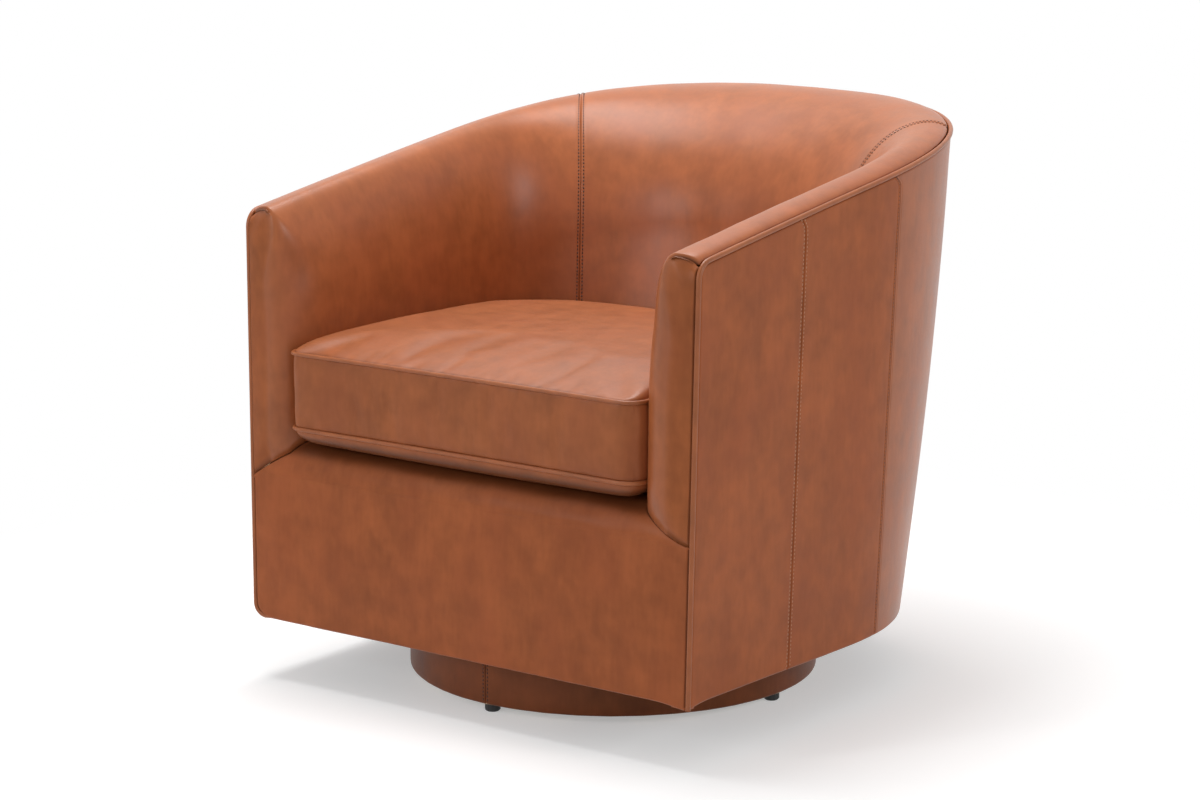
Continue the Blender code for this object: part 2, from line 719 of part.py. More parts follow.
def dust_cover(cambric, shell):
    low = RING_BOTTOM - TOUCH - DUST_COVER
    end = arm_end(DUST_MARGIN)
    outline = [outer(station, low, DUST_MARGIN) for station in stations(-end, end)]
    outline += [outline[-1].lerp(outline[0], share) for share in (0.2, 0.4, 0.5, 0.6, 0.8)]
    rings = []
    for point in outline:
        hole = Vector((point.x, point.y, 0.0)).normalized() * DUST_HOLE
        rings.append([Vector((point.x, point.y, low)), Vector((point.x, point.y, low + DUST_COVER)),
                      Vector((hole.x, hole.y, low + DUST_COVER)), Vector((hole.x, hole.y, low))])
    place("dust_cover", sweep(rings, closed=True), cambric, shell)


# Cushion

def cushion_loop(height, inset=0.0, share=1.0):
    """The cushion's plan outline at a height, set in all round and then drawn in towards its middle."""
    half = CUSHION_WIDTH / 2 - inset
    front = -CUSHION_FRONT + inset
    back = CUSHION_BACK - inset
    corner = max(CUSHION_CORNER - inset, 4 * LOOSE)
    turn = TURN + TURN_LEAN * (DECK_HEIGHT - BODY_BOTTOM)
    middle = Vector((0.0, (front + back) / 2, 0.0))
    shape = Outline(half, half, front, turn, back, CURVE_INSIDE)
    right = []
    for station in stations(0.0, 1.0):
        foot, way = foot_and_way(shape, station)
        right.append(foot + way * reach_of(shape, station))
    for part in (0.33, 0.67):
        pull = DRAW_IN * sin(pi * part)
        right.append(Vector((half - pull, blend(turn, front + corner, part))))
    for step in range(3):
        angle = pi / 4 * step
        right.append(Vector((half - corner + corner * cos(angle), front + corner - corner * sin(angle))))
    right.append(Vector((0.5 * (half - corner), front + 0.75 * DRAW_IN)))
    points = right + [Vector((0.0, front + DRAW_IN))]
    points += [Vector((-point.x, point.y)) for point in reversed(right[1:])]
    return [middle.lerp(Vector((point.x, point.y, 0.0)), share) + Vector((0.0, 0.0, height)) for point in points]


def crowned(edge, rise, power, inset):
    """Outlines from near the middle of a crown out to its edge."""
    return [cushion_loop(edge + rise * (1 - share ** power), inset, share) for share in CROWN_SHARES]


def panel(name, edge, inward, rise, power, hide, cushion):
    """A crowned top or bottom panel, one hide thick, that swells away from its piping."""
    outside = crowned(edge, rise, power, HEM_INSET)
    inside = crowned(edge + inward * HIDE, rise, power, HEM_INSET)
    place(name, sweep(outside + list(reversed(inside))), hide, cushion, sharp=60)


def band_section(loops, along):
    """The section of the boxing at a place along its outline, counted in the outline's points."""
    before = floor(along)
    count = len(loops[0])
    return [loop[before % count].lerp(loop[(before + 1) % count], along - before) for loop in loops]


def boxing(bottom, top, hide, cushion):
    """The upright side of the cushion: the long strip round its front and sides, and the zip panel at its back."""
    rows = even(0.0, 1.0, BOXING_ROWS)
    outside = [cushion_loop(blend(bottom, top, share), HEM_INSET - BOXING_BULGE * sin(pi * share)) for share in rows]
    inside = [cushion_loop(blend(bottom, top, share), HEM_INSET + HIDE - BOXING_BULGE * sin(pi * share))
              for share in reversed(rows)]
    loops = outside + inside
    last = len(loops[0]) - BACK_STEPS
    places = [BACK_STEPS + BOXING_JOIN_GAP] + list(range(BACK_STEPS + 1, last)) + [last - BOXING_JOIN_GAP]
    place("cushion_boxing", sweep([band_section(loops, along) for along in places]), hide, cushion)
    places = range(-BACK_STEPS, BACK_STEPS + 1)
    place("cushion_zip_panel", sweep([band_section(loops, along) for along in places]), hide, cushion)


def cushion_pieces(hide, piping, foam, cushion):
    low, high = CUSHION_LOW_WELT, CUSHION_LOW_WELT + BOXING_HEIGHT
    under = DECK_HEIGHT + TOUCH - low
    seam = HIDE + TOUCH + CUSHION_WELT
    panel("cushion_top_panel", high, -1, CROWN, CROWN_POWER, hide, cushion)
    panel("cushion_bottom_panel", low, 1, under, UNDER_POWER, hide, cushion)
    for name, height in (("cushion_top_welt", high - seam), ("cushion_low_welt", low + seam)):
        cord = tube(cushion_loop(height, HEM_INSET), CUSHION_WELT, CORD_SIDES, closed=True)
        place(name, cord, piping, cushion)
    hem = seam + CUSHION_WELT + TOUCH
    boxing(low + hem, high - hem, hide, cushion)
    sink = HIDE + LAYER_GAP
    inset = HEM_INSET + sink
    core = crowned(low + sink, under, UNDER_POWER, inset + 2 * CUSHION_WELT)
    core += [cushion_loop(height, inset + CUSHION_WELT) for height in (low + 2.5 * seam, high - 2.5 * seam)]
    core += reversed(crowned(high - sink, CROWN, CROWN_POWER, inset + 2 * CUSHION_WELT))
    place("cushion_core", sweep(core), foam, cushion)


# Base and bearing

def plinth(hide, ply, nylon, base):
    outside = PLINTH_RADIUS - HIDE - TOUCH
    board_low = PLINTH_TOP - BOARD_THICKNESS
    place("plinth_cover", turned([(PLINTH_RADIUS, PLINTH_BOTTOM), (PLINTH_RADIUS, PLINTH_TOP),
                                  (PLINTH_RADIUS - HIDE, PLINTH_TOP), (PLINTH_RADIUS - HIDE, PLINTH_BOTTOM)],
                                 PLINTH_STEPS), hide, base)
    place("plinth_hoop", turned([(outside, PLINTH_BOTTOM), (outside, board_low - TOUCH),
                                 (outside - HOOP_THICKNESS, board_low - TOUCH),
                                 (outside - HOOP_THICKNESS, PLINTH_BOTTOM)], PLINTH_STEPS), ply, base)
    board = place("plinth_board", turned([(0.0, board_low), (outside, board_low), (outside, PLINTH_TOP),
                                          (0.0, PLINTH_TOP)], PLINTH_STEPS), ply, base)
    centres = bolt_centres()
    drilled(board, centres, BOLT_RADIUS + BOLT_CLEARANCE / 2, PLINTH_TOP - BOLT_GRIP - TOUCH, PLINTH_TOP + LOOSE)
    reach = PLINTH_RADIUS - GLIDE_INSET
    profile = [(0.0, 0.0), (GLIDE_RADIUS - GLIDE_BEVEL, 0.0), (GLIDE_RADIUS, GLIDE_BEVEL),
               (GLIDE_RADIUS, PLINTH_BOTTOM - TOUCH), (0.0, PLINTH_BOTTOM - TOUCH)]
    for name, way in (("front", (0, -1)), ("right", (1, 0)), ("back", (0, 1)), ("left", (-1, 0))):
        centre = (reach * way[0], reach * way[1])
        place("glide_" + name, turned(profile, 12, centre), nylon, base)


def bolt_centres():
    return [(across, along) for across in (BOLT_SPREAD, -BOLT_SPREAD) for along in (-BOLT_SPREAD, BOLT_SPREAD)]


def bearing_plate(name, back_height, hand, steel, parent):
    """A square plate with a raised round race, facing up (hand 1) or down (hand -1)."""
    count = 32
    face = back_height + hand * PLATE_THICKNESS
    crest_height = face + hand * PLATE_RISE
    rings = []
    for step in range(count):
        angle = 2 * pi * step / count
        way = Vector((cos(angle), sin(angle), 0.0))
        edge = PLATE_HALF / max(abs(way.x), abs(way.y))
        profile = [(edge, back_height), (edge, face), (RACE_RADIUS + RACE_WIDTH / 2, face),
                   (RACE_RADIUS + RACE_WIDTH / 3, crest_height), (RACE_RADIUS - RACE_WIDTH / 3, crest_height),
                   (RACE_RADIUS - RACE_WIDTH / 2, face), (PLATE_BORE, face), (PLATE_BORE, back_height)]
        rings.append([way * radius + Vector((0.0, 0.0, height)) for radius, height in profile])
    plate = place(name, sweep(rings, closed=True), steel, parent)
    low, high = sorted((back_height - hand * LOOSE, face + hand * LOOSE))
    drilled(plate, bolt_centres(), BOLT_RADIUS + BOLT_CLEARANCE, low, high)


def screw(name, centre, seat, hand, steel, parent):
    """A pan-head screw whose head bears on a face at a height, with its shank pointing down (hand 1) or up."""
    tip = seat - hand * (PLATE_THICKNESS + TOUCH + BOLT_GRIP)
    head = seat + hand * TOUCH
    profile = [(0.0, tip), (BOLT_RADIUS * 0.7, tip), (BOLT_RADIUS, tip + hand * LOOSE), (BOLT_RADIUS, head),
               (BOLT_HEAD_RADIUS, head), (BOLT_HEAD_RADIUS * 0.85, head + hand * BOLT_HEAD),
               (0.0, head + hand * BOLT_HEAD)]
    place(name, turned(profile, BOLT_SIDES, centre), steel, parent, origin=(centre[0], centre[1], seat))


def ball_cage(steel, cage):
    """A thin ring with a swelling at each ball."""
    rings = []
    count = BALL_COUNT * 4
    for step in range(count):
        angle = 2 * pi * step / count
        radius = BALL_RADIUS if step % 4 == 0 else CAGE_RADIUS if step % 4 == 2 else 0.75 * BALL_RADIUS
        way = Vector((cos(angle), sin(angle), 0.0))
        turns = [2 * pi * (side + 0.5) / CORD_SIDES for side in range(CORD_SIDES)]
        rings.append([way * (RACE_RADIUS + radius * cos(turn)) + Vector((0.0, 0.0, BALL_HEIGHT + radius * sin(turn)))
                      for turn in turns])
    place("ball_cage", sweep(rings, closed=True), steel, cage)


def bearing(ply, steel, base, shell):
    lower_back = PLINTH_TOP + TOUCH
    upper_back = BOARD_BOTTOM - TOUCH
    bearing_plate("swivel_lower_plate", lower_back, 1, steel, base)
    bearing_plate("swivel_upper_plate", upper_back, -1, steel, shell)
    board = place("swivel_board", block(
        (-SWIVEL_BOARD_LENGTH / 2, -SWIVEL_BOARD_WIDTH / 2, BOARD_BOTTOM),
        (SWIVEL_BOARD_LENGTH / 2, SWIVEL_BOARD_WIDTH / 2, BOARD_BOTTOM + RING_BOARD)), ply, shell)
    drilled(board, bolt_centres(), BOLT_RADIUS + BOLT_CLEARANCE / 2, BOARD_BOTTOM - LOOSE,
            BOARD_BOTTOM + BOLT_GRIP + TOUCH)
    for number, centre in enumerate(bolt_centres(), 1):
        screw("base_screw_" + str(number), centre, lower_back + PLATE_THICKNESS, 1, steel, base)
        screw("seat_screw_" + str(number), centre, upper_back - PLATE_THICKNESS, -1, steel, shell)


def main():
    clear_scene()
    hide = finish("cognac_leather", COGNAC, 0.38)
    piping = finish("piping_leather", PIPING, 0.42)
    ply = finish("plywood", PLY, 0.7)
    foam = finish("foam", FOAM, 0.95)
    felt = finish("backing_board", FELT, 0.95)
    cambric = finish("black_cambric", CAMBRIC, 0.95)
    steel = finish("zinc_plated_steel", STEEL, 0.35, 1.0)
    nylon = finish("black_nylon", NYLON, 0.5)
    base = empty("base")
    base.location = (0.0, -AXIS_FORWARD, 0.0)
    cage = empty("bearing_cage", base)
    shell = empty("seat_shell", base)
    cushion = empty("seat_cushion", shell)

    plinth(hide, ply, nylon, base)
    bearing(ply, steel, base, shell)
    ball_cage(steel, cage)
    timber_frame(ply, shell)
    springs(steel, shell)
    deck_top = DECK_HEIGHT - HIDE - TOUCH
    deck_plate("deck_pad", DECK_PAD_BOTTOM, deck_top, LOOSE, TOUCH, foam, shell)
    deck_plate("deck_cover", DECK_HEIGHT - HIDE, DECK_HEIGHT, LOOSE, TOUCH, cambric, shell)
    front_pad(foam, shell)
    outer_backing(felt, shell)
    inside_layers(hide, foam, shell)
    arm_facings(hide, shell)
    front_cover(hide, shell)
    outside_covers(hide, shell)
    place("body_welt", tube(edge_path(), WELT_RADIUS, CORD_SIDES), piping, shell)
    dust_cover(cambric, shell)
    cushion_pieces(hide, piping, foam, cushion)


main()
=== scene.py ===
# %% [markdown]
# A leather barrel chair that turns on its base. The wall of the shell is one padded band that rises from
# the arms to the back. Most pieces here are sheets of leather that follow it, so they are made from one
# description of its shape, and differ in where they start, where they end and how they draw in beside a
# seam.

# %% Load the frame
import json
from collections import namedtuple
from math import cos, exp, pi, radians, sin, sqrt

import bmesh
import bpy
from mathutils import Matrix, Vector, noise
from mathutils.bvhtree import BVHTree


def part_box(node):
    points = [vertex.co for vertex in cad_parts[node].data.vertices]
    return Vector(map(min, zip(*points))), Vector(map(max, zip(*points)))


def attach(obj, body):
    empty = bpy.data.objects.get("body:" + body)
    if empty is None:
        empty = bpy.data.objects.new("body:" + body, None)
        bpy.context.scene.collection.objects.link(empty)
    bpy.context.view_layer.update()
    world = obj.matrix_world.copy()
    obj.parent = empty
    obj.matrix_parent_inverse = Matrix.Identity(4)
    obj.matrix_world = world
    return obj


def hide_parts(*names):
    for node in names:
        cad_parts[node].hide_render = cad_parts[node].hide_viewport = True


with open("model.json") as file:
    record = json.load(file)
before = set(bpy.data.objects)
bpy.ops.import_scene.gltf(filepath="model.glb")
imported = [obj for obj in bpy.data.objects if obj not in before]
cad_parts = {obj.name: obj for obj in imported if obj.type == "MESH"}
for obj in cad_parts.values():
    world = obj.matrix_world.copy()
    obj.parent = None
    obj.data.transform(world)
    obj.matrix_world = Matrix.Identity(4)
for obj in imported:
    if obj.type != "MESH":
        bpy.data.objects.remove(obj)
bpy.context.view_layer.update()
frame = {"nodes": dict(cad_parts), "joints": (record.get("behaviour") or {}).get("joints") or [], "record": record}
swivel = next(joint for joint in frame["joints"] if joint["name"] == "shell_swivel")
AXIS = Vector((swivel["pos_m"][0], swivel["pos_m"][1], 0.0))
print("turning axis at", tuple(round(value, 4) for value in AXIS))

# %% [markdown]
# The shape of the wall. In plan it is straight along the arms and a rounded U round the back, and both the
# U and its roundness change with height. A place on it is a station: 0 is the middle of the back, 1 the
# start of the right arm and 2 its front, with minus signs on the left. All of this is measured from a
# floor point on the turning axis.

# %% Sizes of the wall
BODY_BOTTOM = 0.084
FRONT_WIDTH = 0.726
SIDE_BOW = 0.0071
SIDE_FLARE = 0.013
FRONT_REACH = 0.332
FRONT_LEAN = 0.0147
TURN = 0.0355
TURN_LEAN = 0.045
BACK_REACH_LOW = 0.379
BACK_REACH_HIGH = 0.4765
BACK_BELLY = 0.0225
CURVE_LOW = 2.25
CURVE_HIGH = 2.60
ARM_WELT_HEIGHT = 0.6365
BACK_WELT_HEIGHT = 0.7545
RIM_ARCH = 0.0030
ARM_THICKNESS = 0.0800
SEAT_REACH = 0.216
INSIDE_LEAN = 0.19
CURVE_INSIDE = 2.5
ROLL_RISE = 0.0115
ROLL_CREST = 0.034
ROLL_DROP = 0.180
OUTSIDE_JOINS = (0.90, 1.41)
DECK_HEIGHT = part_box("deck_cover")[1][2]
NOSE_RADIUS = 0.046
NOSE_RUN = 0.090
HIDE = 0.0016
WELT_RADIUS = 0.0034
WELT_CORNER = 0.018
ARM_LENGTH = TURN + FRONT_REACH

Outline = namedtuple("Outline", "front_half side_half front turn back curve")


# %% Shape of the wall
def blend(low, high, share):
    return low + (high - low) * share


def smooth(low, high, value):
    """Rises from 0 to 1 between two values, level at both ends."""
    share = min(max((value - low) / (high - low), 0.0), 1.0)
    return share * share * (3 - 2 * share)


def front_face(height):
    return -FRONT_REACH + FRONT_LEAN * (height - BODY_BOTTOM)


def front_half(height):
    return FRONT_WIDTH / 2 + SIDE_FLARE * (height - BODY_BOTTOM)


def outside_at(height):
    """The plan of the outer leather at a height."""
    rise = height - BODY_BOTTOM
    share = rise / (BACK_WELT_HEIGHT - BODY_BOTTOM)
    half = front_half(height)
    back = blend(BACK_REACH_LOW, BACK_REACH_HIGH, share) + 4 * BACK_BELLY * share * (1 - share)
    return Outline(half, half + SIDE_BOW, front_face(height), TURN + TURN_LEAN * rise, back,
                   blend(CURVE_LOW, CURVE_HIGH, share))


def inside_at(height, roll_start):
    """The plan of the inner leather, which stops leaning back where the roll over the top starts."""
    half = front_half(DECK_HEIGHT) - ARM_THICKNESS
    turn = TURN + TURN_LEAN * (height - BODY_BOTTOM)
    back = SEAT_REACH + INSIDE_LEAN * (min(height, roll_start) - DECK_HEIGHT)
    lag = TURN_LEAN * max(0.0, height - roll_start)
    return Outline(half, half, front_face(height), turn, back + lag, CURVE_INSIDE)


def foot_and_way(shape, station):
    """Where a station's section starts on the middle plane, and the way that it points in plan."""
    hand = 1 if station >= 0 else -1
    reach = abs(station)
    if reach > 1:
        return Vector((0.0, blend(shape.turn, shape.front, reach - 1))), Vector((hand, 0.0))
    angle = reach * pi / 2
    return Vector((0.0, shape.turn)), Vector((hand * sin(angle), cos(angle)))


def reach_of(shape, station):
    """How far along a station's section the outline lies."""
    share = abs(station)
    if share > 1:
        return blend(shape.side_half, shape.front_half, share - 1)
    angle = share * pi / 2
    across = (sin(angle) / shape.side_half) ** shape.curve
    back = (cos(angle) / (shape.back - shape.turn)) ** shape.curve
    return (across + back) ** (-1 / shape.curve)


def rim(station):
    """Height of the piping's middle along the top edge."""
    top = outside_at(BACK_WELT_HEIGHT)
    foot, way = foot_and_way(top, station)
    share = (foot.y + way.y * reach_of(top, station) - top.front) / (top.back - top.front)
    return blend(ARM_WELT_HEIGHT, BACK_WELT_HEIGHT, share) + 4 * RIM_ARCH * share * (1 - share)


def at_reach(station, height, reach):
    foot, way = foot_and_way(outside_at(height), station)
    plan = foot + way * reach
    return Vector((plan.x, plan.y, height))


def outer(station, height, depth):
    """A point a depth in from the outer leather."""
    return at_reach(station, height, reach_of(outside_at(height), station) - depth)


def inner_reach(station, height):
    return reach_of(inside_at(height, rim(station) - ROLL_DROP), station)


def path_length(points):
    return sum((after - before).length for before, after in zip(points, points[1:]))


def arm_end(depth):
    """The station a depth behind the front of the arm."""
    return 2.0 - depth / ARM_LENGTH


def behind_front(station):
    """How far behind the front of the arm a station is."""
    return (2.0 - abs(station)) * ARM_LENGTH


def corner_drop(station):
    """How far the piping has come down from the rim as it turns the corner at the front of the arm."""
    depth = behind_front(station) - WELT_RADIUS
    run = min(max(WELT_CORNER - depth, 0.0), WELT_CORNER)
    return WELT_CORNER - sqrt(WELT_CORNER ** 2 - run ** 2)


print("rim height, arm", round(rim(2.0), 4), "back", round(rim(0.0), 4))

# %% [markdown]
# Leather draws in where it is sewn. The dip beside a seam is what makes the seam show from across a room,
# so each sheet has its rows close together there and the same short formula for its dip. Columns are real
# distances, which keeps a seam as narrow on a short strip as on a long one.

# %% Seams
SEAM_STEPS = (0.0, 0.0005, 0.0010, 0.0016, 0.0023, 0.0030, 0.0036, 0.0043, 0.0054, 0.0070, 0.0095, 0.0135)
SEAM_DEPTH = 0.0014
SEAM_WIDTH = 0.0010
STITCH_SET = 0.0036
STITCH_DIP = 0.0004
WELT_DEPTH = 0.0018
WELT_HIDES = 0.0007
WELT_WIDTH = 0.0017
LAP_SET, LAP_WIDTH = 0.0024, 0.0012
SEAM_DARK_WIDTH, HOLE_WIDTH = 0.0012, 0.0008
PITCH = 0.011
SWELL_WAVES, SWELL_WAVES_UP = 9.0, 2.2
DRIFT_WAVES, DRIFT_WAVES_UP = 26.0, 7.0
DRIFT_SHIFT, DRIFT_SHARE = 5.0, 0.4


def spacing(length, near, far, pitch=PITCH):
    """Distances along a strip, close together beside a seam at either end."""
    start = list(SEAM_STEPS) if near else [0.0]
    end = [length - step for step in reversed(SEAM_STEPS)] if far else [length]
    gap = end[0] - start[-1]
    count = max(1, round(gap / pitch))
    return start + [start[-1] + gap * step / count for step in range(1, count)] + end


def seam_dip(distance, stitched=True):
    """How far leather draws in at a distance from its seam, and again under a row of stitches beside it."""
    dip = SEAM_DEPTH * exp(-(distance / SEAM_WIDTH) ** 2)
    if stitched:
        dip += STITCH_DIP * exp(-((distance - STITCH_SET) / SEAM_WIDTH) ** 2)
    return dip


def welt_dip(distance):
    """How far leather draws in beside piping, which covers its first fraction of a millimetre."""
    return WELT_DEPTH * exp(-(max(distance - WELT_HIDES, 0.0) / WELT_WIDTH) ** 2)


def lap(distance):
    """How far the turned edge under a lapped seam raises the leather over it."""
    return exp(-((distance - LAP_SET) / LAP_WIDTH) ** 2)


def seam_dirt_and_shade(distance, depth=0.5, stitched=False):
    """Dirt and painted shade right at a seam, and painted shade in its row of needle holes, as a negative value.
    """
    dirt_and_shade = depth * exp(-(distance / SEAM_DARK_WIDTH) ** 2)
    if stitched:
        dirt_and_shade += 0.5 * depth * exp(-((distance - STITCH_SET) / HOLE_WIDTH) ** 2)
    return -dirt_and_shade


def relief(point, size):
    """Slack in stretched leather: long upright swells with a finer drift over them."""
    swell = noise.noise(Vector((point.x * SWELL_WAVES, point.y * SWELL_WAVES, point.z * SWELL_WAVES_UP)))
    drift = noise.noise(Vector((point.x * DRIFT_WAVES + DRIFT_SHIFT, point.y * DRIFT_WAVES,
                                point.z * DRIFT_WAVES_UP)))
    return size * (swell + DRIFT_SHARE * drift)


# %% [markdown]
# Finishes come first, so that each piece can take its own as it is made. A small class wraps a socket, and
# plain arithmetic on it adds the Math nodes, which reads like the formula that it is. Leather has a
# mottled ground, upright streaks where the hide was stretched, and a fine pebbled grain. A painted layer
# darkens it along each seam, for dirt and painted shade, with painted shade in creases and under the
# cushion too, and lightens it for wear and painted highlights.

# %% Shader arithmetic
class Value:
    """A socket that varies over a surface: arithmetic on it adds Math nodes."""

    def __init__(self, nodes, socket):
        self.nodes = nodes
        self.socket = socket

    def math(self, operation, first, second):
        return self.nodes.node("Math", {"operation": operation}, {0: first, 1: second})

    def __add__(self, other):
        return self.math("ADD", self, other)

    def __radd__(self, other):
        return self.math("ADD", other, self)

    def __sub__(self, other):
        return self.math("SUBTRACT", self, other)

    def __rsub__(self, other):
        return self.math("SUBTRACT", other, self)

    def __mul__(self, other):
        return self.math("MULTIPLY", self, other)

    def __rmul__(self, other):
        return self.math("MULTIPLY", other, self)

    def between(self, low, high):
        """0 up to one value and 1 from another, smooth between them."""
        return self.nodes.node("MapRange", {"interpolation_type": "SMOOTHSTEP"},
                               {"Value": self, "From Min": low, "From Max": high})


class Nodes:
    """The nodes of a material or of the world."""

    def __init__(self, tree):
        self.tree = tree

    def node(self, kind, settings=None, sockets=None, output=0):
        """Adds a node, sets it up, fills its sockets and gives back one of its outputs."""
        made = self.tree.nodes.new("ShaderNode" + kind)
        for key, value in (settings or {}).items():
            setattr(made, key, value)
        for key, value in (sockets or {}).items():
            self.fill(made.inputs[key], value)
        return Value(self, made.outputs[output])

    def fill(self, socket, value):
        if isinstance(value, Value):
            self.tree.links.new(value.socket, socket)
        else:
            socket.default_value = value

    def own(self, name):
        """The shader of a node that a new tree has from the start."""
        return Value(self, self.tree.nodes[name].outputs[0])

    def show(self, shader, end):
        """Makes a shader the one that is seen."""
        self.fill(self.tree.nodes[end].inputs[0], shader)


class Finish(Nodes):
    """One material."""

    def __init__(self, name, roughness=0.5, metallic=0.0):
        self.material = bpy.data.materials.new(name)
        self.material.use_nodes = True
        super().__init__(self.material.node_tree)
        self.shader = self.tree.nodes["Principled BSDF"]
        self.set("Roughness", roughness)
        self.set("Metallic", metallic)

    def set(self, name, value):
        self.fill(self.shader.inputs[name], value)

    def place(self, scale=(1.0, 1.0, 1.0), shift=(0.0, 0.0, 0.0)):
        """Object coordinates, in metres, scaled for a pattern."""
        coordinates = self.node("TexCoord", output=3)
        return self.node("Mapping", None, {"Vector": coordinates, "Scale": scale, "Location": shift})

    def noise(self, place, scale, detail=3.0, roughness=0.55):
        return self.node("TexNoise", None,
                         {"Vector": place, "Scale": scale, "Detail": detail, "Roughness": roughness})

    def mix(self, share, first, second):
        """Mixes two colours."""
        return self.node("Mix", {"data_type": "RGBA"}, {0: share, 6: first, 7: second}, output=2)

    def attribute(self, name):
        return self.node("Attribute", {"attribute_name": name}, None, output=2)

    def bump(self, height, distance, strength):
        sockets = {"Height": height, "Distance": distance, "Strength": strength}
        self.set("Normal", self.node("Bump", None, sockets))


def colour(red, green, blue):
    return (red, green, blue, 1.0)


# %% Leather
COGNAC = (0.340, 0.095, 0.031)
INSIDE_COGNAC = (0.365, 0.107, 0.034)
SEAT_COGNAC = (0.338, 0.103, 0.036)
PIPING = (0.350, 0.106, 0.034)
PLINTH_HIDE = (0.216, 0.064, 0.023)
BLOTCH_SCALE, CLOUD_SCALE, CREASE_SCALE, GRAIN_SCALE = 8.0, 36.0, 200.0, 820.0
STREAK_PLACE, FINE_PLACE, REDDER_PLACE = (34.0, 34.0, 7.0), (150.0, 150.0, 40.0), (14.0, 14.0, 8.0)
REDDER_TINT, WEAR_AND_HIGHLIGHT_TINT = (0.94, 0.84, 0.95), (1.12, 1.34, 1.5)
DARK_SHARE, PALE_SHARE, DIRT_AND_SHADE_SHARE = 0.76, 1.24, 0.22


def tinted(base, tint):
    return colour(*[value * share for value, share in zip(base, tint)])


def shade(base, share):
    return tinted(base, (share, share, share))


def leather(name, base, streaks, shift=0.0, coat=0.0, coat_roughness=0.36):
    """Aniline leather: mottled, streaked and pebbled; a painted layer darkens it for dirt and painted shade and
    lightens it for wear and painted highlights.
    """
    finish = Finish(name)
    place = finish.place(shift=(shift, shift, shift))
    blotch = finish.noise(place, BLOTCH_SCALE, 3.0, 0.55)
    cloud = finish.noise(place, CLOUD_SCALE, 2.0, 0.5)
    streak = finish.noise(finish.place(STREAK_PLACE, (shift, shift, 0.0)), 1.0, 2.0, 0.5)
    fine = finish.noise(finish.place(FINE_PLACE, (shift, shift, 0.0)), 1.0, 1.0, 0.5)
    tone = 0.5 + 0.5 * (blotch - 0.5) + 0.6 * (cloud - 0.5) + streaks * (streak - 0.5) + 0.22 * (fine - 0.5)
    body = finish.mix(tone.between(0.12, 0.88), shade(base, DARK_SHARE), shade(base, PALE_SHARE))
    redder = finish.noise(finish.place(REDDER_PLACE, (shift, 3.0, 0.0)), 1.0, 3.0, 0.5)
    body = finish.mix(redder.between(0.35, 0.75) * 0.40, body, tinted(base, REDDER_TINT))
    # Negative values of this layer paint dirt and painted shade, positive ones wear and painted highlights.
    rub = finish.attribute("rub")
    body = finish.mix(rub.between(0.0, 1.0) * 0.34, body, tinted(base, WEAR_AND_HIGHLIGHT_TINT))
    body = finish.mix(rub.between(0.0, -1.0) * 0.80, body, shade(base, DIRT_AND_SHADE_SHARE))
    finish.set("Base Color", body)
    cells = {"Vector": place, "Scale": GRAIN_SCALE}
    pebble = finish.node("TexVoronoi", {"feature": "DISTANCE_TO_EDGE"}, cells).between(0.0, 0.25)
    creases = finish.noise(place, CREASE_SCALE, 2.0, 0.5)
    finish.set("Roughness", 0.36 + 0.16 * (cloud - 0.5) + 0.10 * (creases - 0.5))
    finish.bump(0.16 * pebble + 0.40 * creases + 0.9 * cloud, 0.00020, 0.50)
    finish.set("Specular IOR Level", 0.13)
    if coat:
        finish.set("Coat Weight", coat * finish.attribute("polish"))
        finish.set("Coat Roughness", coat_roughness)
        finish.set("Coat IOR", 1.6)
    return finish.material


hide = leather("cognac_hide", COGNAC, 0.26)
hide_back = leather("cognac_hide_back", INSIDE_COGNAC, 0.3, 3.7, 0.32)
hide_seat = leather("cognac_hide_seat", SEAT_COGNAC, 0.2, 8.2, 0.33, 0.42)
hide_base = leather("cognac_hide_base", PLINTH_HIDE, 0.3, 12.4)
piping = leather("piping_hide", PIPING, 0.2, 1.9, 0.3)
print("leather finishes made")


# %% [markdown]
# Under the leather there is plywood, foam, a stiff backing, black cambric and zinc-plated steel. Little of
# it shows, but it does from below and when the cushion is out, and each keeps its own grain, weave or
# brushing.

# %% Other finishes
def plywood(name):
    finish = Finish(name, 0.62)
    growth = {"Vector": finish.place((9.0, 1.2, 30.0)), "Scale": 1.4, "Distortion": 7.0, "Detail": 3.0}
    face = finish.node("TexWave", {"wave_type": "RINGS", "rings_direction": "Y"}, growth)
    ply = finish.node("TexWave", {"bands_direction": "Z"}, {"Vector": finish.place(), "Scale": 105.0})
    flecks = finish.noise(finish.place((30.0, 240.0, 240.0)), 1.0, 3.0)
    wood = finish.mix(face, colour(0.56, 0.38, 0.21), colour(0.68, 0.50, 0.31))
    wood = finish.mix(flecks.between(0.55, 0.75) * 0.35, wood, colour(0.38, 0.23, 0.12))
    wood = finish.mix(ply.between(0.55, 0.75) * 0.18, wood, colour(0.40, 0.24, 0.13))
    finish.set("Base Color", wood)
    finish.bump(face + flecks, 0.0003, 0.4)
    return finish.material


def cloth(name, base, thread):
    """A plain weave of crossing threads, the finer the higher the last number."""
    finish = Finish(name, 0.9)
    warp = finish.node("TexWave", {"bands_direction": "X"}, {"Vector": finish.place(), "Scale": thread})
    weft = finish.node("TexWave", {"bands_direction": "Y"}, {"Vector": finish.place(), "Scale": thread})
    cloud = finish.noise(finish.place(), 30.0)
    weave = warp * weft
    finish.set("Base Color", finish.mix(weave * 0.6 + 0.4 * cloud, shade(base, 0.6), shade(base, 1.5)))
    finish.bump(weave, 0.0003, 0.6)
    return finish.material


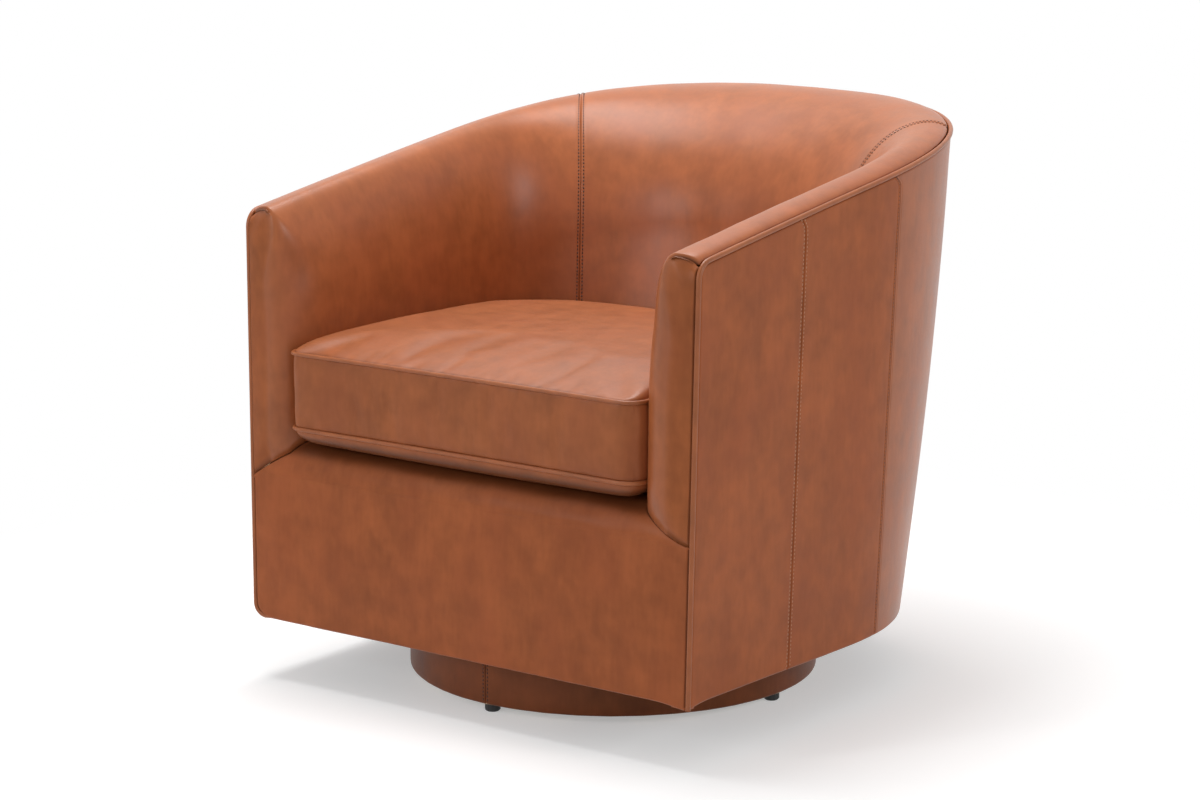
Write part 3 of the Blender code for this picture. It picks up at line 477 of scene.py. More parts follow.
def foam_block(name):
    finish = Finish(name, 0.95)
    cells = finish.node("TexVoronoi", None, {"Vector": finish.place(), "Scale": 420.0})
    cloud = finish.noise(finish.place(), 12.0)
    shown = finish.mix(cells * 0.5 + 0.5 * cloud, colour(0.60, 0.52, 0.34), colour(0.84, 0.79, 0.62))
    finish.set("Base Color", shown)
    finish.bump(cells, 0.001, 0.5)
    return finish.material


def zinc_steel(name):
    finish = Finish(name, 0.35, 1.0)
    spangle = finish.noise(finish.place(), 70.0, 2.0)
    brushed = finish.noise(finish.place((30.0, 900.0, 900.0)), 1.0, 3.0)
    finish.set("Base Color", finish.mix(spangle, colour(0.36, 0.36, 0.34), colour(0.58, 0.58, 0.57)))
    finish.set("Roughness", 0.26 + 0.22 * brushed)
    finish.bump(brushed, 0.0002, 0.3)
    return finish.material


def moulded_nylon(name):
    finish = Finish(name, 0.5)
    texture = finish.noise(finish.place(), 900.0, 2.0)
    finish.set("Base Color", finish.mix(texture, colour(0.009, 0.009, 0.009), colour(0.020, 0.020, 0.021)))
    finish.set("Roughness", 0.42 + 0.2 * texture)
    finish.bump(texture, 0.0002, 0.4)
    return finish.material


def thread(name, base):
    finish = Finish(name, 0.55)
    twist = finish.noise(finish.place(), 1500.0, 1.0)
    finish.set("Base Color", finish.mix(twist, shade(base, 0.8), shade(base, 1.25)))
    return finish.material


wood = plywood("birch_plywood")
platform = cloth("platform_cloth", (0.050, 0.034, 0.026), 620.0)
cambric = cloth("cambric_cloth", (0.018, 0.018, 0.018), 900.0)
felt = cloth("backing_felt", (0.30, 0.29, 0.27), 350.0)
zip_cloth = cloth("zip_cloth", (0.090, 0.040, 0.020), 900.0)
foam = foam_block("foam_block")
steel = zinc_steel("zinc_steel")
nylon = moulded_nylon("moulded_nylon")
dark_thread = thread("dark_thread", (0.052, 0.018, 0.010))
light_thread = thread("light_thread", (0.46, 0.215, 0.115))
print("finishes", len(bpy.data.materials))

# %% [markdown]
# Every leather sheet starts as a flat grid and each of its points is moved to its place on the chair, as a
# hide is cut flat and then pulled over the padding. The sheet gets its thickness last, inwards, so that
# the outside stays where the formula put it.

# %% Sheets and pieces
Seen = namedtuple("Seen", "point rub loose polish", defaults=(1.0, 1.0))
SLACK_START, SLACK_FULL = 0.003, 0.030
WELD = 0.00001


def slack_at(distance):
    """How free leather is to swell at a distance from where it is sewn."""
    return smooth(SLACK_START, SLACK_FULL, distance)


def sheet(across, up, seen, reverse=False, mirrored=False, slack=0.0):
    """A grid whose corner (i, j) goes where seen(across[i], up[j]) says, with its painted wear, dirt, highlight
    and shade there.
    """
    bm = bmesh.new()
    columns, rows = len(across) - 1, len(up) - 1
    bmesh.ops.create_grid(bm, x_segments=columns, y_segments=rows, size=0.5)
    rub = bm.verts.layers.float.new("rub")
    polish = bm.verts.layers.float.new("polish")
    free = {}
    for vert in bm.verts:
        column = round((vert.co.x + 0.5) * columns)
        row = round((vert.co.y + 0.5) * rows)
        vert.co, vert[rub], free[vert], vert[polish] = seen(across[column], up[row])
    if mirrored:
        bmesh.ops.scale(bm, verts=bm.verts, vec=(-1.0, 1.0, 1.0))
    if reverse != mirrored:
        bmesh.ops.reverse_faces(bm, faces=bm.faces)
    bm.normal_update()
    if slack:
        for vert, normal in [(vert, vert.normal.copy()) for vert in bm.verts]:
            vert.co += normal * relief(vert.co, slack * free[vert])
    return bm


def piece(name, bm, body, finish, stands_for=(), thickness=0.0):
    """Moves a bmesh from the turning axis to its place in the frame and makes it a finished piece."""
    bmesh.ops.translate(bm, verts=bm.verts, vec=AXIS)
    mesh = bpy.data.meshes.new(name)
    bm.to_mesh(mesh)
    bm.free()
    mesh.shade_smooth()
    mesh.materials.append(finish)
    made = bpy.data.objects.new(name, mesh)
    bpy.context.collection.objects.link(made)
    if thickness:
        wall = made.modifiers.new("leather thickness", "SOLIDIFY")
        wall.thickness = thickness
        wall.offset = -1.0
    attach(made, body)
    if stands_for:
        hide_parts(*stands_for)
    print(name, len(mesh.polygons), "faces")
    return made


def cord(path, radius, sides=12, closed=False):
    """A round cord along a path, made as a grid wrapped round it."""
    count = len(path)
    frames = []
    side = None
    for index, point in enumerate(path):
        ahead = path[(index + 1) % count] if closed or index + 1 < count else point
        behind = path[index - 1] if closed or index else point
        along = (ahead - behind).normalized()
        if side is None:
            side = along.cross(Vector((0.0, 0.0, 1.0)))
            side = along.cross(Vector((0.0, 1.0, 0.0))) if side.length < 0.2 else side
        side = (side - side.dot(along) * along).normalized()
        frames.append((point, side, along.cross(side)))
    if closed:
        frames.append(frames[0])

    def round_it(step, turn):
        point, side, lift = frames[step]
        return Seen(point + radius * (cos(turn) * side + sin(turn) * lift), 0.0)

    turns = [-2 * pi * step / sides for step in range(sides + 1)]
    bm = sheet(range(len(frames)), turns, round_it)
    bmesh.ops.remove_doubles(bm, verts=bm.verts, dist=WELD)
    if not closed:
        bmesh.ops.holes_fill(bm, edges=bm.edges, sides=sides)
    bmesh.ops.recalc_face_normals(bm, faces=bm.faces)
    return bm


# %% [markdown]
# The outer leather is five panels. Each runs from a hem turned under the frame up to the piping. Near the
# top the two side joins swing forward in a small hook, as they do where the panel was eased round the arm.

# %% Outside panels
UNDER_HEM = 0.022
HEM_RADIUS = 0.0045
HOOK_RUN = 0.008
HOOK_RISE = 0.022
CORNER_SAG = 0.0042
CORNER_RUN = 0.024
FOOT_ROUND = 0.018
CURL_FROM, CURL_TO = 0.045, 0.004
OUTER_EDGE = 0.80 * WELT_RADIUS
UNDER_ROWS = (UNDER_HEM, 0.014, 0.007)
HEM_STEPS = 5
MEASURED_AT = BODY_BOTTOM + 0.3
MEASURE_STEPS = 40
# Darkening at a seam is dirt and painted shade; beside the piping it is painted shade in the crease.
SEAM_DIRT_AND_SHADE, WELT_CREASE_SHADE, WELT_CREASE_SET = 0.45, 0.75, 0.0010
# The lap's raised edge is painted lighter, as wear and as a painted highlight.
LAP_LIFT, LAP_WEAR_AND_HIGHLIGHT, LAP_END, HEM_RUB = 0.0006, 0.45, 0.006, 0.2
NEAR_JOIN, FAR_JOIN = OUTSIDE_JOINS
PANEL_FRONT = arm_end(1.8 * WELT_RADIUS)


def bottom_beside(run, right):
    """Height of the lower edge, which dips to the end of the piping at the right front corner."""
    return BODY_BOTTOM - (CORNER_SAG * exp(-(run / CORNER_RUN) ** 2) if right else 0.0)


def foot_curl(along):
    """How far the left front corner is rounded in at a height over the lower edge."""
    run = FOOT_ROUND - min(max(along, 0.0), FOOT_ROUND)
    return FOOT_ROUND - sqrt(FOOT_ROUND ** 2 - run ** 2)


def left_curl(station, height):
    """The same for the side beside that corner, fading out behind it."""
    if station >= 0:
        return 0.0
    return foot_curl(height - BODY_BOTTOM) * smooth(CURL_FROM, CURL_TO, behind_front(station))


def join_station(join, height, top):
    """The station of an outside join at a height."""
    hook = smooth(top - HOOK_RISE, top, height) ** 2
    return join + (1 if join > 0 else -1) * hook * HOOK_RUN / ARM_LENGTH


def panel_rows():
    """Rows of an outside panel: under the frame, round the hem, then up the wall as shares of its height."""
    height = ARM_WELT_HEIGHT - BODY_BOTTOM
    under = [("under", inset) for inset in UNDER_ROWS]
    turned = [("hem", pi / 2 * step / HEM_STEPS) for step in range(HEM_STEPS)]
    wall = [("wall", distance / height) for distance in spacing(height, True, True)]
    return under + turned + wall


def outside_panel(start, end, lapped):
    """The surface of a panel between two joins, or between a join and the front piping."""
    stations = [blend(start, end, step / MEASURE_STEPS) for step in range(MEASURE_STEPS + 1)]
    length = path_length([outer(station, MEASURED_AT, 0.0) for station in stations])
    sewn_start, sewn_end = abs(start) < PANEL_FRONT, abs(end) < PANEL_FRONT

    def seen(distance, row):
        kind, value = row
        share = distance / length
        top = rim(blend(start, end, share)) - OUTER_EDGE
        height = BODY_BOTTOM + HEM_RADIUS if kind != "wall" else blend(BODY_BOTTOM + HEM_RADIUS, top, value)
        first = join_station(start, height, top) if sewn_start else start
        last = join_station(end, height, top) if sewn_end else end
        station = blend(first, last, share)
        low = bottom_beside(behind_front(station), station > 0)
        top = rim(station) - corner_drop(station) - OUTER_EDGE
        dip = seam_dip(distance) if sewn_start else welt_dip(distance)
        dip += seam_dip(length - distance) if sewn_end else welt_dip(length - distance)
        if kind == "under":
            return Seen(outer(station, low, dip + HEM_RADIUS + value + left_curl(station, low)), 0.0)
        if kind == "hem":
            height = low + HEM_RADIUS - HEM_RADIUS * cos(value)
            inset = HEM_RADIUS - HEM_RADIUS * sin(value) + left_curl(station, height)
            return Seen(outer(station, height, dip + inset), HEM_RUB)
        height = blend(low + HEM_RADIUS, top, value)
        dip += left_curl(station, height)
        dip = max(dip, welt_dip(top - height))
        sewn = min(distance if sewn_start else length, length - distance if sewn_end else length)
        at_ends = min(length if sewn_start else distance, length if sewn_end else length - distance)
        piped = min(at_ends, top - height)
        ridge = lap(sewn) * smooth(0.0, LAP_END, top - height) if lapped else 0.0
        # Dirt and painted shade at the seam, painted shade beside the piping, and wear and a painted highlight on
        # the lap's ridge.
        rub = seam_dirt_and_shade(sewn, SEAM_DIRT_AND_SHADE) + seam_dirt_and_shade(max(piped - WELT_CREASE_SET, 0.0), WELT_CREASE_SHADE) + LAP_WEAR_AND_HIGHLIGHT * ridge
        return Seen(outer(station, height, dip - LAP_LIFT * ridge), rub, slack_at(min(sewn, piped)))

    return length, seen


outside_spans = {
    "outside_leather_right_front": (FAR_JOIN, PANEL_FRONT, "outer_cover_right_front", hide),
    "outside_leather_right": (NEAR_JOIN, FAR_JOIN, "outer_cover_right", hide),
    "outside_leather_back": (-NEAR_JOIN, NEAR_JOIN, "outer_cover_back", hide_back),
    "outside_leather_left": (-FAR_JOIN, -NEAR_JOIN, "outer_cover_left", hide),
    "outside_leather_left_front": (-PANEL_FRONT, -FAR_JOIN, "outer_cover_left_front", hide),
}
for name, (start, end, node, finish) in outside_spans.items():
    length, seen = outside_panel(start, end, max(abs(start), abs(end)) == FAR_JOIN)
    bm = sheet(spacing(length, True, True), panel_rows(), seen, reverse=True, slack=0.0006)
    piece(name, bm, "seat_shell", finish, (node,), HIDE)

# %% [markdown]
# The inner leather goes up from the deck, over the padded roll and down to the piping. Its section is a
# straight stretch, a quarter of a tall ellipse and a quarter of a low one. A row v runs from 0 at the deck
# to 1 where the roll starts, 2 at the crest and 3 at the piping.

# %% Inner section
HEM_DEPTH, HEM_LIFT = 0.0050, 0.0005
DECK_LINE = DECK_HEIGHT - 0.002
JOIN_TOP = 0.552
JOIN_LEAN = 0.058
JOIN_DRIFT = 0.010
MEASURED_STATION = 1.95
CREST_WEAR_AND_HIGHLIGHT, CREST_ROW, CREST_SPREAD = 0.55, 1.93, 0.28


def inside_section(station, v):
    """Reach and height of the inner leather."""
    top = rim(station)
    start = top - ROLL_DROP
    edge = reach_of(outside_at(top), station)
    if v <= 1:
        height = blend(DECK_LINE, start, v)
        return inner_reach(station, height), height
    if v <= 2:
        turn = pi / 2 * (v - 1)
        reach = blend(edge - ROLL_CREST, inner_reach(station, start), cos(turn))
        return reach, start + (ROLL_DROP + ROLL_RISE) * sin(turn)
    turn = pi / 2 * (v - 2)
    fall = ROLL_RISE - HEM_LIFT + corner_drop(station)
    return edge - blend(ROLL_CREST, HEM_DEPTH, sin(turn)), top + ROLL_RISE - fall * (1 - cos(turn))


def inside_point(station, v, sink=0.0, drop=0.0):
    """A point on the inner leather, sunk into the padding or let down along the wall."""
    step = 0.01
    reach, height = inside_section(station, v)
    ahead = inside_section(station, min(v + step, 3.0))
    behind = inside_section(station, max(v - step, 0.0))
    rise, run = ahead[1] - behind[1], ahead[0] - behind[0]
    size = sqrt(rise ** 2 + run ** 2)
    return at_reach(station, height - sink * run / size - drop, reach + sink * rise / size)


def join_at(v):
    """The station of the inside join, which leans forward as it goes down."""
    if v >= 2:
        return JOIN_TOP
    if v > 1:
        return JOIN_TOP + JOIN_LEAN * cos(pi / 2 * (v - 1))
    return JOIN_TOP + JOIN_LEAN + JOIN_DRIFT * (1 - v)


INSIDE_ROWS = [step / 14 for step in range(14)] + [1 + step / 26 for step in range(26)]
INSIDE_ROWS += [2 + step / 14 for step in range(12)] + [2.88, 2.92, 2.95, 2.975, 3.0]
marks = [Vector(inside_section(MEASURED_STATION, v)) for v in INSIDE_ROWS]
RISE_AT_FRONT = {v: path_length(marks[:index + 1]) for index, v in enumerate(INSIDE_ROWS)}
SECTION_LENGTH = RISE_AT_FRONT[3.0]
print("inner leather, deck to piping", round(SECTION_LENGTH, 3))


def near_piping(v):
    """Distance from a row to the piping, near enough for a dip."""
    return SECTION_LENGTH - RISE_AT_FRONT[v]


def crest_wear_and_highlight(v):
    """The roll's top is painted lighter, as wear and as a painted highlight."""
    return CREST_WEAR_AND_HIGHLIGHT * exp(-((v - CREST_ROW) / CREST_SPREAD) ** 2)


# %% [markdown]
# At the front of the arm the same hide wraps round a padded corner and becomes the arm's facing, so
# inside, corner and facing are one grid. The corner is rounder on the left than on the right, and tightens
# into a sewn dart where the facing meets the arm's top. Below, it stops along the mitre, where the front
# apron starts.

# %% Arm facing
DART = 0.044
DART_RADIUS = 0.0030
DART_GROOVE = 0.0026
DART_LINE = 0.72 * pi / 2
DART_FADE = 0.110
DART_TURN = radians(50)
DART_SPREAD = 0.42
DART_POWER = 1.4
Mitre = namedtuple("Mitre", "foot slope power")
MITRES = {1: Mitre(0.2868, 1.604, 1.5), -1: Mitre(0.2774, 0.434, 0.855)}
MITRE_FADE = 0.085
MITRE_TUCK = 0.014
FACE_CROWN = 0.0040
FACE_EDGE = 0.8 * WELT_RADIUS
FACE_SINK = 0.0030
FACE_HEM = 0.0025
# The inside joins are darkened by dirt and painted shade.
FACE_RUB, FACE_EDGE_RUB, JOIN_DIRT_AND_SHADE = -0.15, 0.08, 0.4
SWELL_WIDTHS, SWELL_RISES = (0.004, 0.060), (-0.004, 0.020)
ARM_TOP = rim(2.0)
INSIDE_HALF = front_half(DECK_HEIGHT) - ARM_THICKNESS
Corner = namedtuple("Corner", "deep wide")
CORNERS = {1: Corner(0.022, 0.040), -1: Corner(0.065, 0.042)}


def corner_share(v):
    """How far the arm's front corner has opened from the dart to its full roundness."""
    return smooth(DART * 0.8, DART + DART_FADE, near_piping(v))


def corner_back(v):
    """How far the dart has fallen back from the front as it nears the piping's corner."""
    whole = WELT_RADIUS + WELT_CORNER * (1 - cos(DART_TURN))
    return whole * max(0.0, 1 - near_piping(v) / DART) ** DART_POWER


def nose_height(depth):
    """Height of the front nose at a depth behind the front face."""
    run = NOSE_RADIUS - min(max(depth, 0.0), NOSE_RADIUS)
    return DECK_HEIGHT - NOSE_RADIUS + sqrt(NOSE_RADIUS ** 2 - run ** 2)


def nose_depth(height):
    """How far the nose has gone back at a height."""
    rise = min(max(height - (DECK_HEIGHT - NOSE_RADIUS), 0.0), NOSE_RADIUS)
    return NOSE_RADIUS - sqrt(NOSE_RADIUS ** 2 - rise ** 2)


def mitre_height(across, hand):
    """Height of the mitre on the front, which was cut a little differently on the two sides."""
    mitre = MITRES[hand]
    return mitre.foot + mitre.slope * max(0.0, front_half(mitre.foot) - abs(across)) ** mitre.power


def corner_foot(turn, hand):
    """Height of the mitre round the corner, where it climbs over the nose."""
    corner = CORNERS[hand]
    level = mitre_height(INSIDE_HALF + corner.wide * (1 - cos(turn)), hand)
    return max(level, nose_height(corner.deep * (1 - sin(turn))))


def mitre_share(v):
    """How far a row follows the mitre: 1 at its foot, fading out above."""
    return max(0.0, 1 - RISE_AT_FRONT[v] / MITRE_FADE) ** 2


def face_edge(share, hand):
    """The facing's outer edge beside the piping, from the mitre to the dart."""
    straight = ARM_TOP - WELT_CORNER - MITRES[hand].foot
    run = share * (straight + WELT_CORNER * DART_TURN)
    turn = max(0.0, run - straight) / WELT_CORNER
    radius = WELT_CORNER + WELT_RADIUS - FACE_SINK
    height = MITRES[hand].foot + min(run, straight) + radius * sin(turn)
    depth = front_face(height) + FACE_SINK + radius * (1 - cos(turn))
    return Vector((front_half(height) - FACE_EDGE, depth, height))


def tucked(point, v, foot):
    """Draws the facing back to the nose that its foot is sewn to."""
    own = point.y - front_face(point.z)
    return max(0.0, nose_depth(foot) - own) * exp(-(RISE_AT_FRONT[v] / MITRE_TUCK) ** 2)


def arm_corner_point(v, turn, hand):
    """A point on the rounded front corner, turned from the wall (0) to the front face (a quarter)."""
    share, back = corner_share(v), corner_back(v)
    deep, wide = [blend(DART_RADIUS, full, share) for full in CORNERS[hand]]
    depth = back + deep * (1 - sin(turn))
    drop = max(0.0, DECK_LINE - corner_foot(turn, hand)) * mitre_share(v)
    # The dart's crease: it sinks the groove, and its returned share also paints shade along it.
    crease = smooth(DART + 0.006, DART - 0.002, near_piping(v))
    line = crease * exp(-((turn - DART_LINE) / DART_SPREAD) ** 2)
    return inside_point(arm_end(depth), v, wide * (1 - cos(turn)) + DART_GROOVE * line, drop), line


def face_swell(v, point, hand):
    """How far the padding swells the facing forward, from the corner's start to the piping."""
    inner = inside_point(arm_end(corner_back(v)), v).x
    edge = face_edge(RISE_AT_FRONT[v] / SECTION_LENGTH, hand).x
    share = min(max((point.x - inner) / max(edge - inner, 0.001), 0.0), 1.0)
    fading = smooth(*SWELL_WIDTHS, edge - inner) * smooth(*SWELL_RISES, RISE_AT_FRONT[v])
    return FACE_CROWN * sin(pi * share) * fading


def inside_wall(column, v, hand):
    """The surface of an inside leather with its corner and facing, drawn on the right."""
    kind, value = column
    hem = near_piping(v)
    if kind == "wall":
        distance = value * INSIDE_LENGTH
        start = arm_end(corner_back(v) + blend(DART_RADIUS, CORNERS[hand].deep, corner_share(v)))
        station = blend(join_at(v), start, value)
        # The crest's wear and painted highlight, dirt and painted shade at the join, and painted shade beside the
        # piping.
        rub = crest_wear_and_highlight(v) + seam_dirt_and_shade(distance, JOIN_DIRT_AND_SHADE, True) + seam_dirt_and_shade(hem)
        point = inside_point(station, v, seam_dip(distance) + 0.4 * seam_dip(hem, False))
        return Seen(point, rub, slack_at(min(distance, hem)))
    if kind == "corner":
        point, line = arm_corner_point(v, value, hand)
        point.y += tucked(point, v, corner_foot(value, hand)) - face_swell(v, point, hand)
        # Along the dart's crease the colour is painted darker, as painted shade in the groove.
        return Seen(point, blend(crest_wear_and_highlight(v), FACE_RUB, 1 - cos(value)) - line, slack_at(hem), 1 - line)
    first = arm_corner_point(v, pi / 2, hand)[0]
    last = face_edge(RISE_AT_FRONT[v] / SECTION_LENGTH, hand)
    point = first.lerp(last, value)
    level = blend(corner_foot(pi / 2, hand), MITRES[hand].foot, value)
    point.z += mitre_share(v) * (mitre_height(point.x, hand) - level)
    distance = (1 - value) * (last - first).length
    turned_back = last.y - front_face(last.z) - FACE_SINK
    back = blend(corner_back(v), turned_back, smooth(0.0, 1.0, value))
    back += FACE_SINK * exp(-(distance / FACE_HEM) ** 2)
    point.y = front_face(point.z) + back - face_swell(v, point, hand)
    point.y += seam_dip(RISE_AT_FRONT[v] * 0.9, False)
    point.y += tucked(point, v, mitre_height(point.x, hand))
    near = min(distance - FACE_HEM, RISE_AT_FRONT[v])
    rub = seam_dirt_and_shade(near) + FACE_RUB - FACE_EDGE_RUB * smooth(0.0, 0.4, value)
    return Seen(point, rub, slack_at(near), smooth(0.30, -0.15, value))


MIDDLE_ROW = INSIDE_ROWS[20]
middle_line = [inside_point(blend(join_at(MIDDLE_ROW), arm_end(CORNERS[1].deep), step / 60), MIDDLE_ROW)
               for step in range(61)]
INSIDE_LENGTH = path_length(middle_line)
FACE_WIDTH = 0.045
FACE_PITCH = 0.005
CORNER_STEPS = 16
inside_columns = [("wall", distance / INSIDE_LENGTH) for distance in spacing(INSIDE_LENGTH, True, False)]
inside_columns += [("corner", pi / 2 * step / CORNER_STEPS) for step in range(1, CORNER_STEPS + 1)]
inside_columns += [("face", distance / FACE_WIDTH)
                   for distance in spacing(FACE_WIDTH, False, True, FACE_PITCH)[1:]]
for side, hand in (("right", 1), ("left", -1)):
    bm = sheet(inside_columns, INSIDE_ROWS, lambda column, v: inside_wall(column, v, hand), mirrored=hand < 0,
               slack=0.0008)
    nodes = ("inner_cover_" + side, "inner_pad_" + side, "arm_facing_" + side)
    made = piece("inside_leather_" + side, bm, "seat_shell", hide_back, nodes, HIDE)


# %% Inside back
BACK_LENGTH = 0.46


def inside_back(share, v):
    """The surface of the back's inside leather between its two joins."""
    distance = (0.5 - abs(share - 0.5)) * BACK_LENGTH
    hem = near_piping(v)
    # The crest's wear and painted highlight, dirt and painted shade at the join, and painted shade beside the
    # piping.
    rub = crest_wear_and_highlight(v) + seam_dirt_and_shade(distance, JOIN_DIRT_AND_SHADE, True) + seam_dirt_and_shade(hem)
    station = blend(-join_at(v), join_at(v), share)
    dip = seam_dip(distance) + 0.4 * seam_dip(hem, False)
    return Seen(inside_point(station, v, dip), rub, slack_at(min(distance, hem)))


back_columns = [distance / BACK_LENGTH for distance in spacing(BACK_LENGTH, True, True)]
bm = sheet(back_columns, INSIDE_ROWS, inside_back, slack=0.0011)
made = piece("inside_leather_back", bm, "seat_shell", hide_back,
             ("inner_cover_back", "inner_pad_back"), HIDE)

# %% [markdown]
# The apron covers the front rail. It is turned under at the bottom, goes up to the two mitres, and then
# rolls over a foam nose and back under the cushion. It is one grid whose width changes from row to row.

# %% Apron
NOSE_START = DECK_HEIGHT - NOSE_RADIUS - BODY_BOTTOM
HEM_ROWS = [-UNDER_HEM, -0.014, -0.008] + [-0.0045 + 0.0009 * step for step in range(5)]
APRON_SWELL = 0.0022
APRON_REACH = 0.36
WELT_COVER = 0.0018
NOSE_RIPPLE = 0.0011


def apron_rows():
    """Rows of the apron as distances up its flat pattern, negative under the frame."""
    quarter = NOSE_RADIUS * pi / 2
    low = MITRES[-1].foot - BODY_BOTTOM - 0.004
    rows = HEM_ROWS + spacing(low, True, False)[:-1]
    rows += [low + (NOSE_START - low) * step / 10 for step in range(10)]
    rows += [NOSE_START + quarter * step / 36 for step in range(36)]
    return rows + [NOSE_START + quarter + (NOSE_RUN - NOSE_RADIUS) * step / 6 for step in range(7)]


def mitre_line(hand):
    """Pairs of height and half-width up the mitre, along the front and then round the corner."""
    outer_end = front_half(MITRES[hand].foot)
    corner = CORNERS[hand]
    places = [blend(outer_end, INSIDE_HALF + corner.wide, step / 20) for step in range(20)]
    line = [(mitre_height(across, hand), across) for across in places]
    line[0] = (line[0][0], outer_end - FACE_EDGE)
    turns = [pi / 2 * (1 - step / 24) for step in range(25)]
    return line + [(corner_foot(turn, hand), INSIDE_HALF + corner.wide * (1 - cos(turn))) for turn in turns]


MITRE_LINES = {hand: mitre_line(hand) for hand in (1, -1)}


def nose_at(along):
    """Height of the apron at a distance up its pattern, and how far it has gone back over the nose."""
    if along <= NOSE_START:
        return BODY_BOTTOM + along, 0.0
    turn = min((along - NOSE_START) / NOSE_RADIUS, pi / 2)
    flat = max(0.0, along - NOSE_START - NOSE_RADIUS * pi / 2)
    return DECK_HEIGHT - NOSE_RADIUS * (1 - sin(turn)), NOSE_RADIUS * (1 - cos(turn)) + flat


def apron_edge(along, hand):
    """Half the apron's width at a distance up its pattern, following the mitre over the nose."""
    height = nose_at(along)[0]
    if height <= MITRES[hand].foot:
        return front_half(max(height, BODY_BOTTOM)) - FACE_EDGE
    for (low, wide), (high, narrow) in zip(MITRE_LINES[hand], MITRE_LINES[hand][1:]):
        if height <= high:
            return blend(wide, narrow, (height - low) / max(high - low, 0.00001))
    return INSIDE_HALF


def apron(share, along):
    """The surface of the apron."""
    hand = 1 if share >= 0 else -1
    edge = apron_edge(along, hand) - (foot_curl(along) if hand < 0 else 0.0)
    across = share * edge
    run = (1 - abs(share)) * edge
    foot = bottom_beside(run, share > 0)
    hem = FACE_SINK * exp(-(run / FACE_HEM) ** 2)
    if along < 0:
        turn = min(-along / HEM_RADIUS, pi / 2)
        under = max(0.0, -along - HEM_RADIUS * pi / 2)
        back = max(hem, HEM_RADIUS * (1 - cos(turn))) + under
        return Seen(Vector((across, front_face(foot) + back, foot + HEM_RADIUS * (1 - sin(turn)))), 0.0)
    height, back = nose_at(along)
    seam = run
    if abs(across) > INSIDE_HALF + CORNERS[hand].wide:
        seam = min(run, 0.93 * max(mitre_height(across, hand) - height, 0.0))
    sink = max(seam_dip(seam, False), hem if height < MITRES[hand].foot else 0.0)
    # Painted shade beside the piping, and dirt and painted shade along the mitre seam.
    rub = seam_dirt_and_shade(max(run - WELT_COVER, 0.0), WELT_CREASE_SHADE) if seam == run else seam_dirt_and_shade(seam, SEAM_DIRT_AND_SHADE)
    if along <= NOSE_START:
        swell = APRON_SWELL * sin(pi * min(along / NOSE_START, 1.0)) ** 2 * smooth(0.0, 0.05, run)
        level = blend(foot + HEM_RADIUS, BODY_BOTTOM + NOSE_START, along / NOSE_START)
        return Seen(Vector((across, front_face(height) + sink - swell, level)), rub, slack_at(seam))
    turn = min((along - NOSE_START) / NOSE_RADIUS, pi / 2)
    ripple = NOSE_RIPPLE * noise.noise(Vector((across * 15, along * 50, 3.0))) * smooth(0.0, 0.02, run)
    radius = NOSE_RADIUS - sink + ripple
    middle = front_face(DECK_HEIGHT) + NOSE_RADIUS
    level = DECK_HEIGHT - NOSE_RADIUS + radius * sin(turn)
    depth = middle + back - NOSE_RADIUS * (1 - cos(turn)) - radius * cos(turn)
    # Painted shade on the nose where it runs back under the cushion's overhang.
    return Seen(Vector((across, depth, level)), rub - smooth(0.40, 0.90, sin(turn)), slack_at(seam))


half = [1 - distance / APRON_REACH for distance in spacing(APRON_REACH, True, False)]
apron_columns = [-share for share in half] + [share for share in reversed(half[:-1])]
bm = sheet(apron_columns, apron_rows(), apron, slack=0.0006)
made = piece("apron_leather", bm, "seat_shell", hide, ("front_cover", "front_pad"), HIDE)

# %% [markdown]
# Piping is a strip of leather sewn round a cord. One length of it runs up the right front edge, round the
# rim and down the left front edge, where it curls under the rounded foot. It is sunk a little into the
# seam that it covers.

# %% Shell piping
WELT_SINK = 0.2 * WELT_RADIUS


def front_edge_point(height):
    """Where the piping's middle is on the right front edge at a height."""
    return Vector((front_half(height) - WELT_SINK, front_face(height) + WELT_RADIUS, height))


def welt_path():
    """The piping's path, with short steps round the corners at the front of the arms."""
    low = BODY_BOTTOM + FOOT_ROUND
    front = [front_edge_point(blend(low, ARM_TOP - WELT_CORNER, step / 36)) for step in range(37)]
    rise = []
    for step in range(1, 8):
        turn = pi / 2 * step / 8
        station = arm_end(WELT_RADIUS + WELT_CORNER * (1 - cos(turn)))
        rise.append(outer(station, rim(station) - WELT_CORNER * (1 - sin(turn)), WELT_SINK))
    last = arm_end(WELT_RADIUS + WELT_CORNER)
    stations = [last * (1 - step / 110) for step in range(111)]
    half = front + rise + [outer(station, rim(station), WELT_SINK) for station in stations]
    hanging = [front_edge_point(BODY_BOTTOM + height) for height in (0.0006 - CORNER_SAG, 0.004, 0.011)]
    under = []
    for step in range(9):
        turn = pi / 2 * step / 9
        height = low - (FOOT_ROUND - 0.8 * WELT_RADIUS) * cos(turn)
        reach = front_half(BODY_BOTTOM) - WELT_SINK - FOOT_ROUND + FOOT_ROUND * sin(turn)
        under.append(Vector((-reach, front_face(height) + WELT_RADIUS, height)))
    start = [under[0] + Vector(step) for step in ((0.030, 0.0050, 0.0045), (0.014, 0.0012, 0.0012))]
    return hanging + half + list(reversed(start + under + mirrored_path(half[:-1])))


def mirrored_path(path):
    return [Vector((-point.x, point.y, point.z)) for point in path]


piece("shell_piping", cord(welt_path(), WELT_RADIUS), "seat_shell", piping, ("body_welt",))

# %% [markdown]
# Stitches are separate little loops of thread, and there are hundreds, so each is a rounded grain of 24
# faces laid along the seam. A row of them is one piece. The spacing is measured along the real surface, so
# it stays even where a seam climbs over the roll.

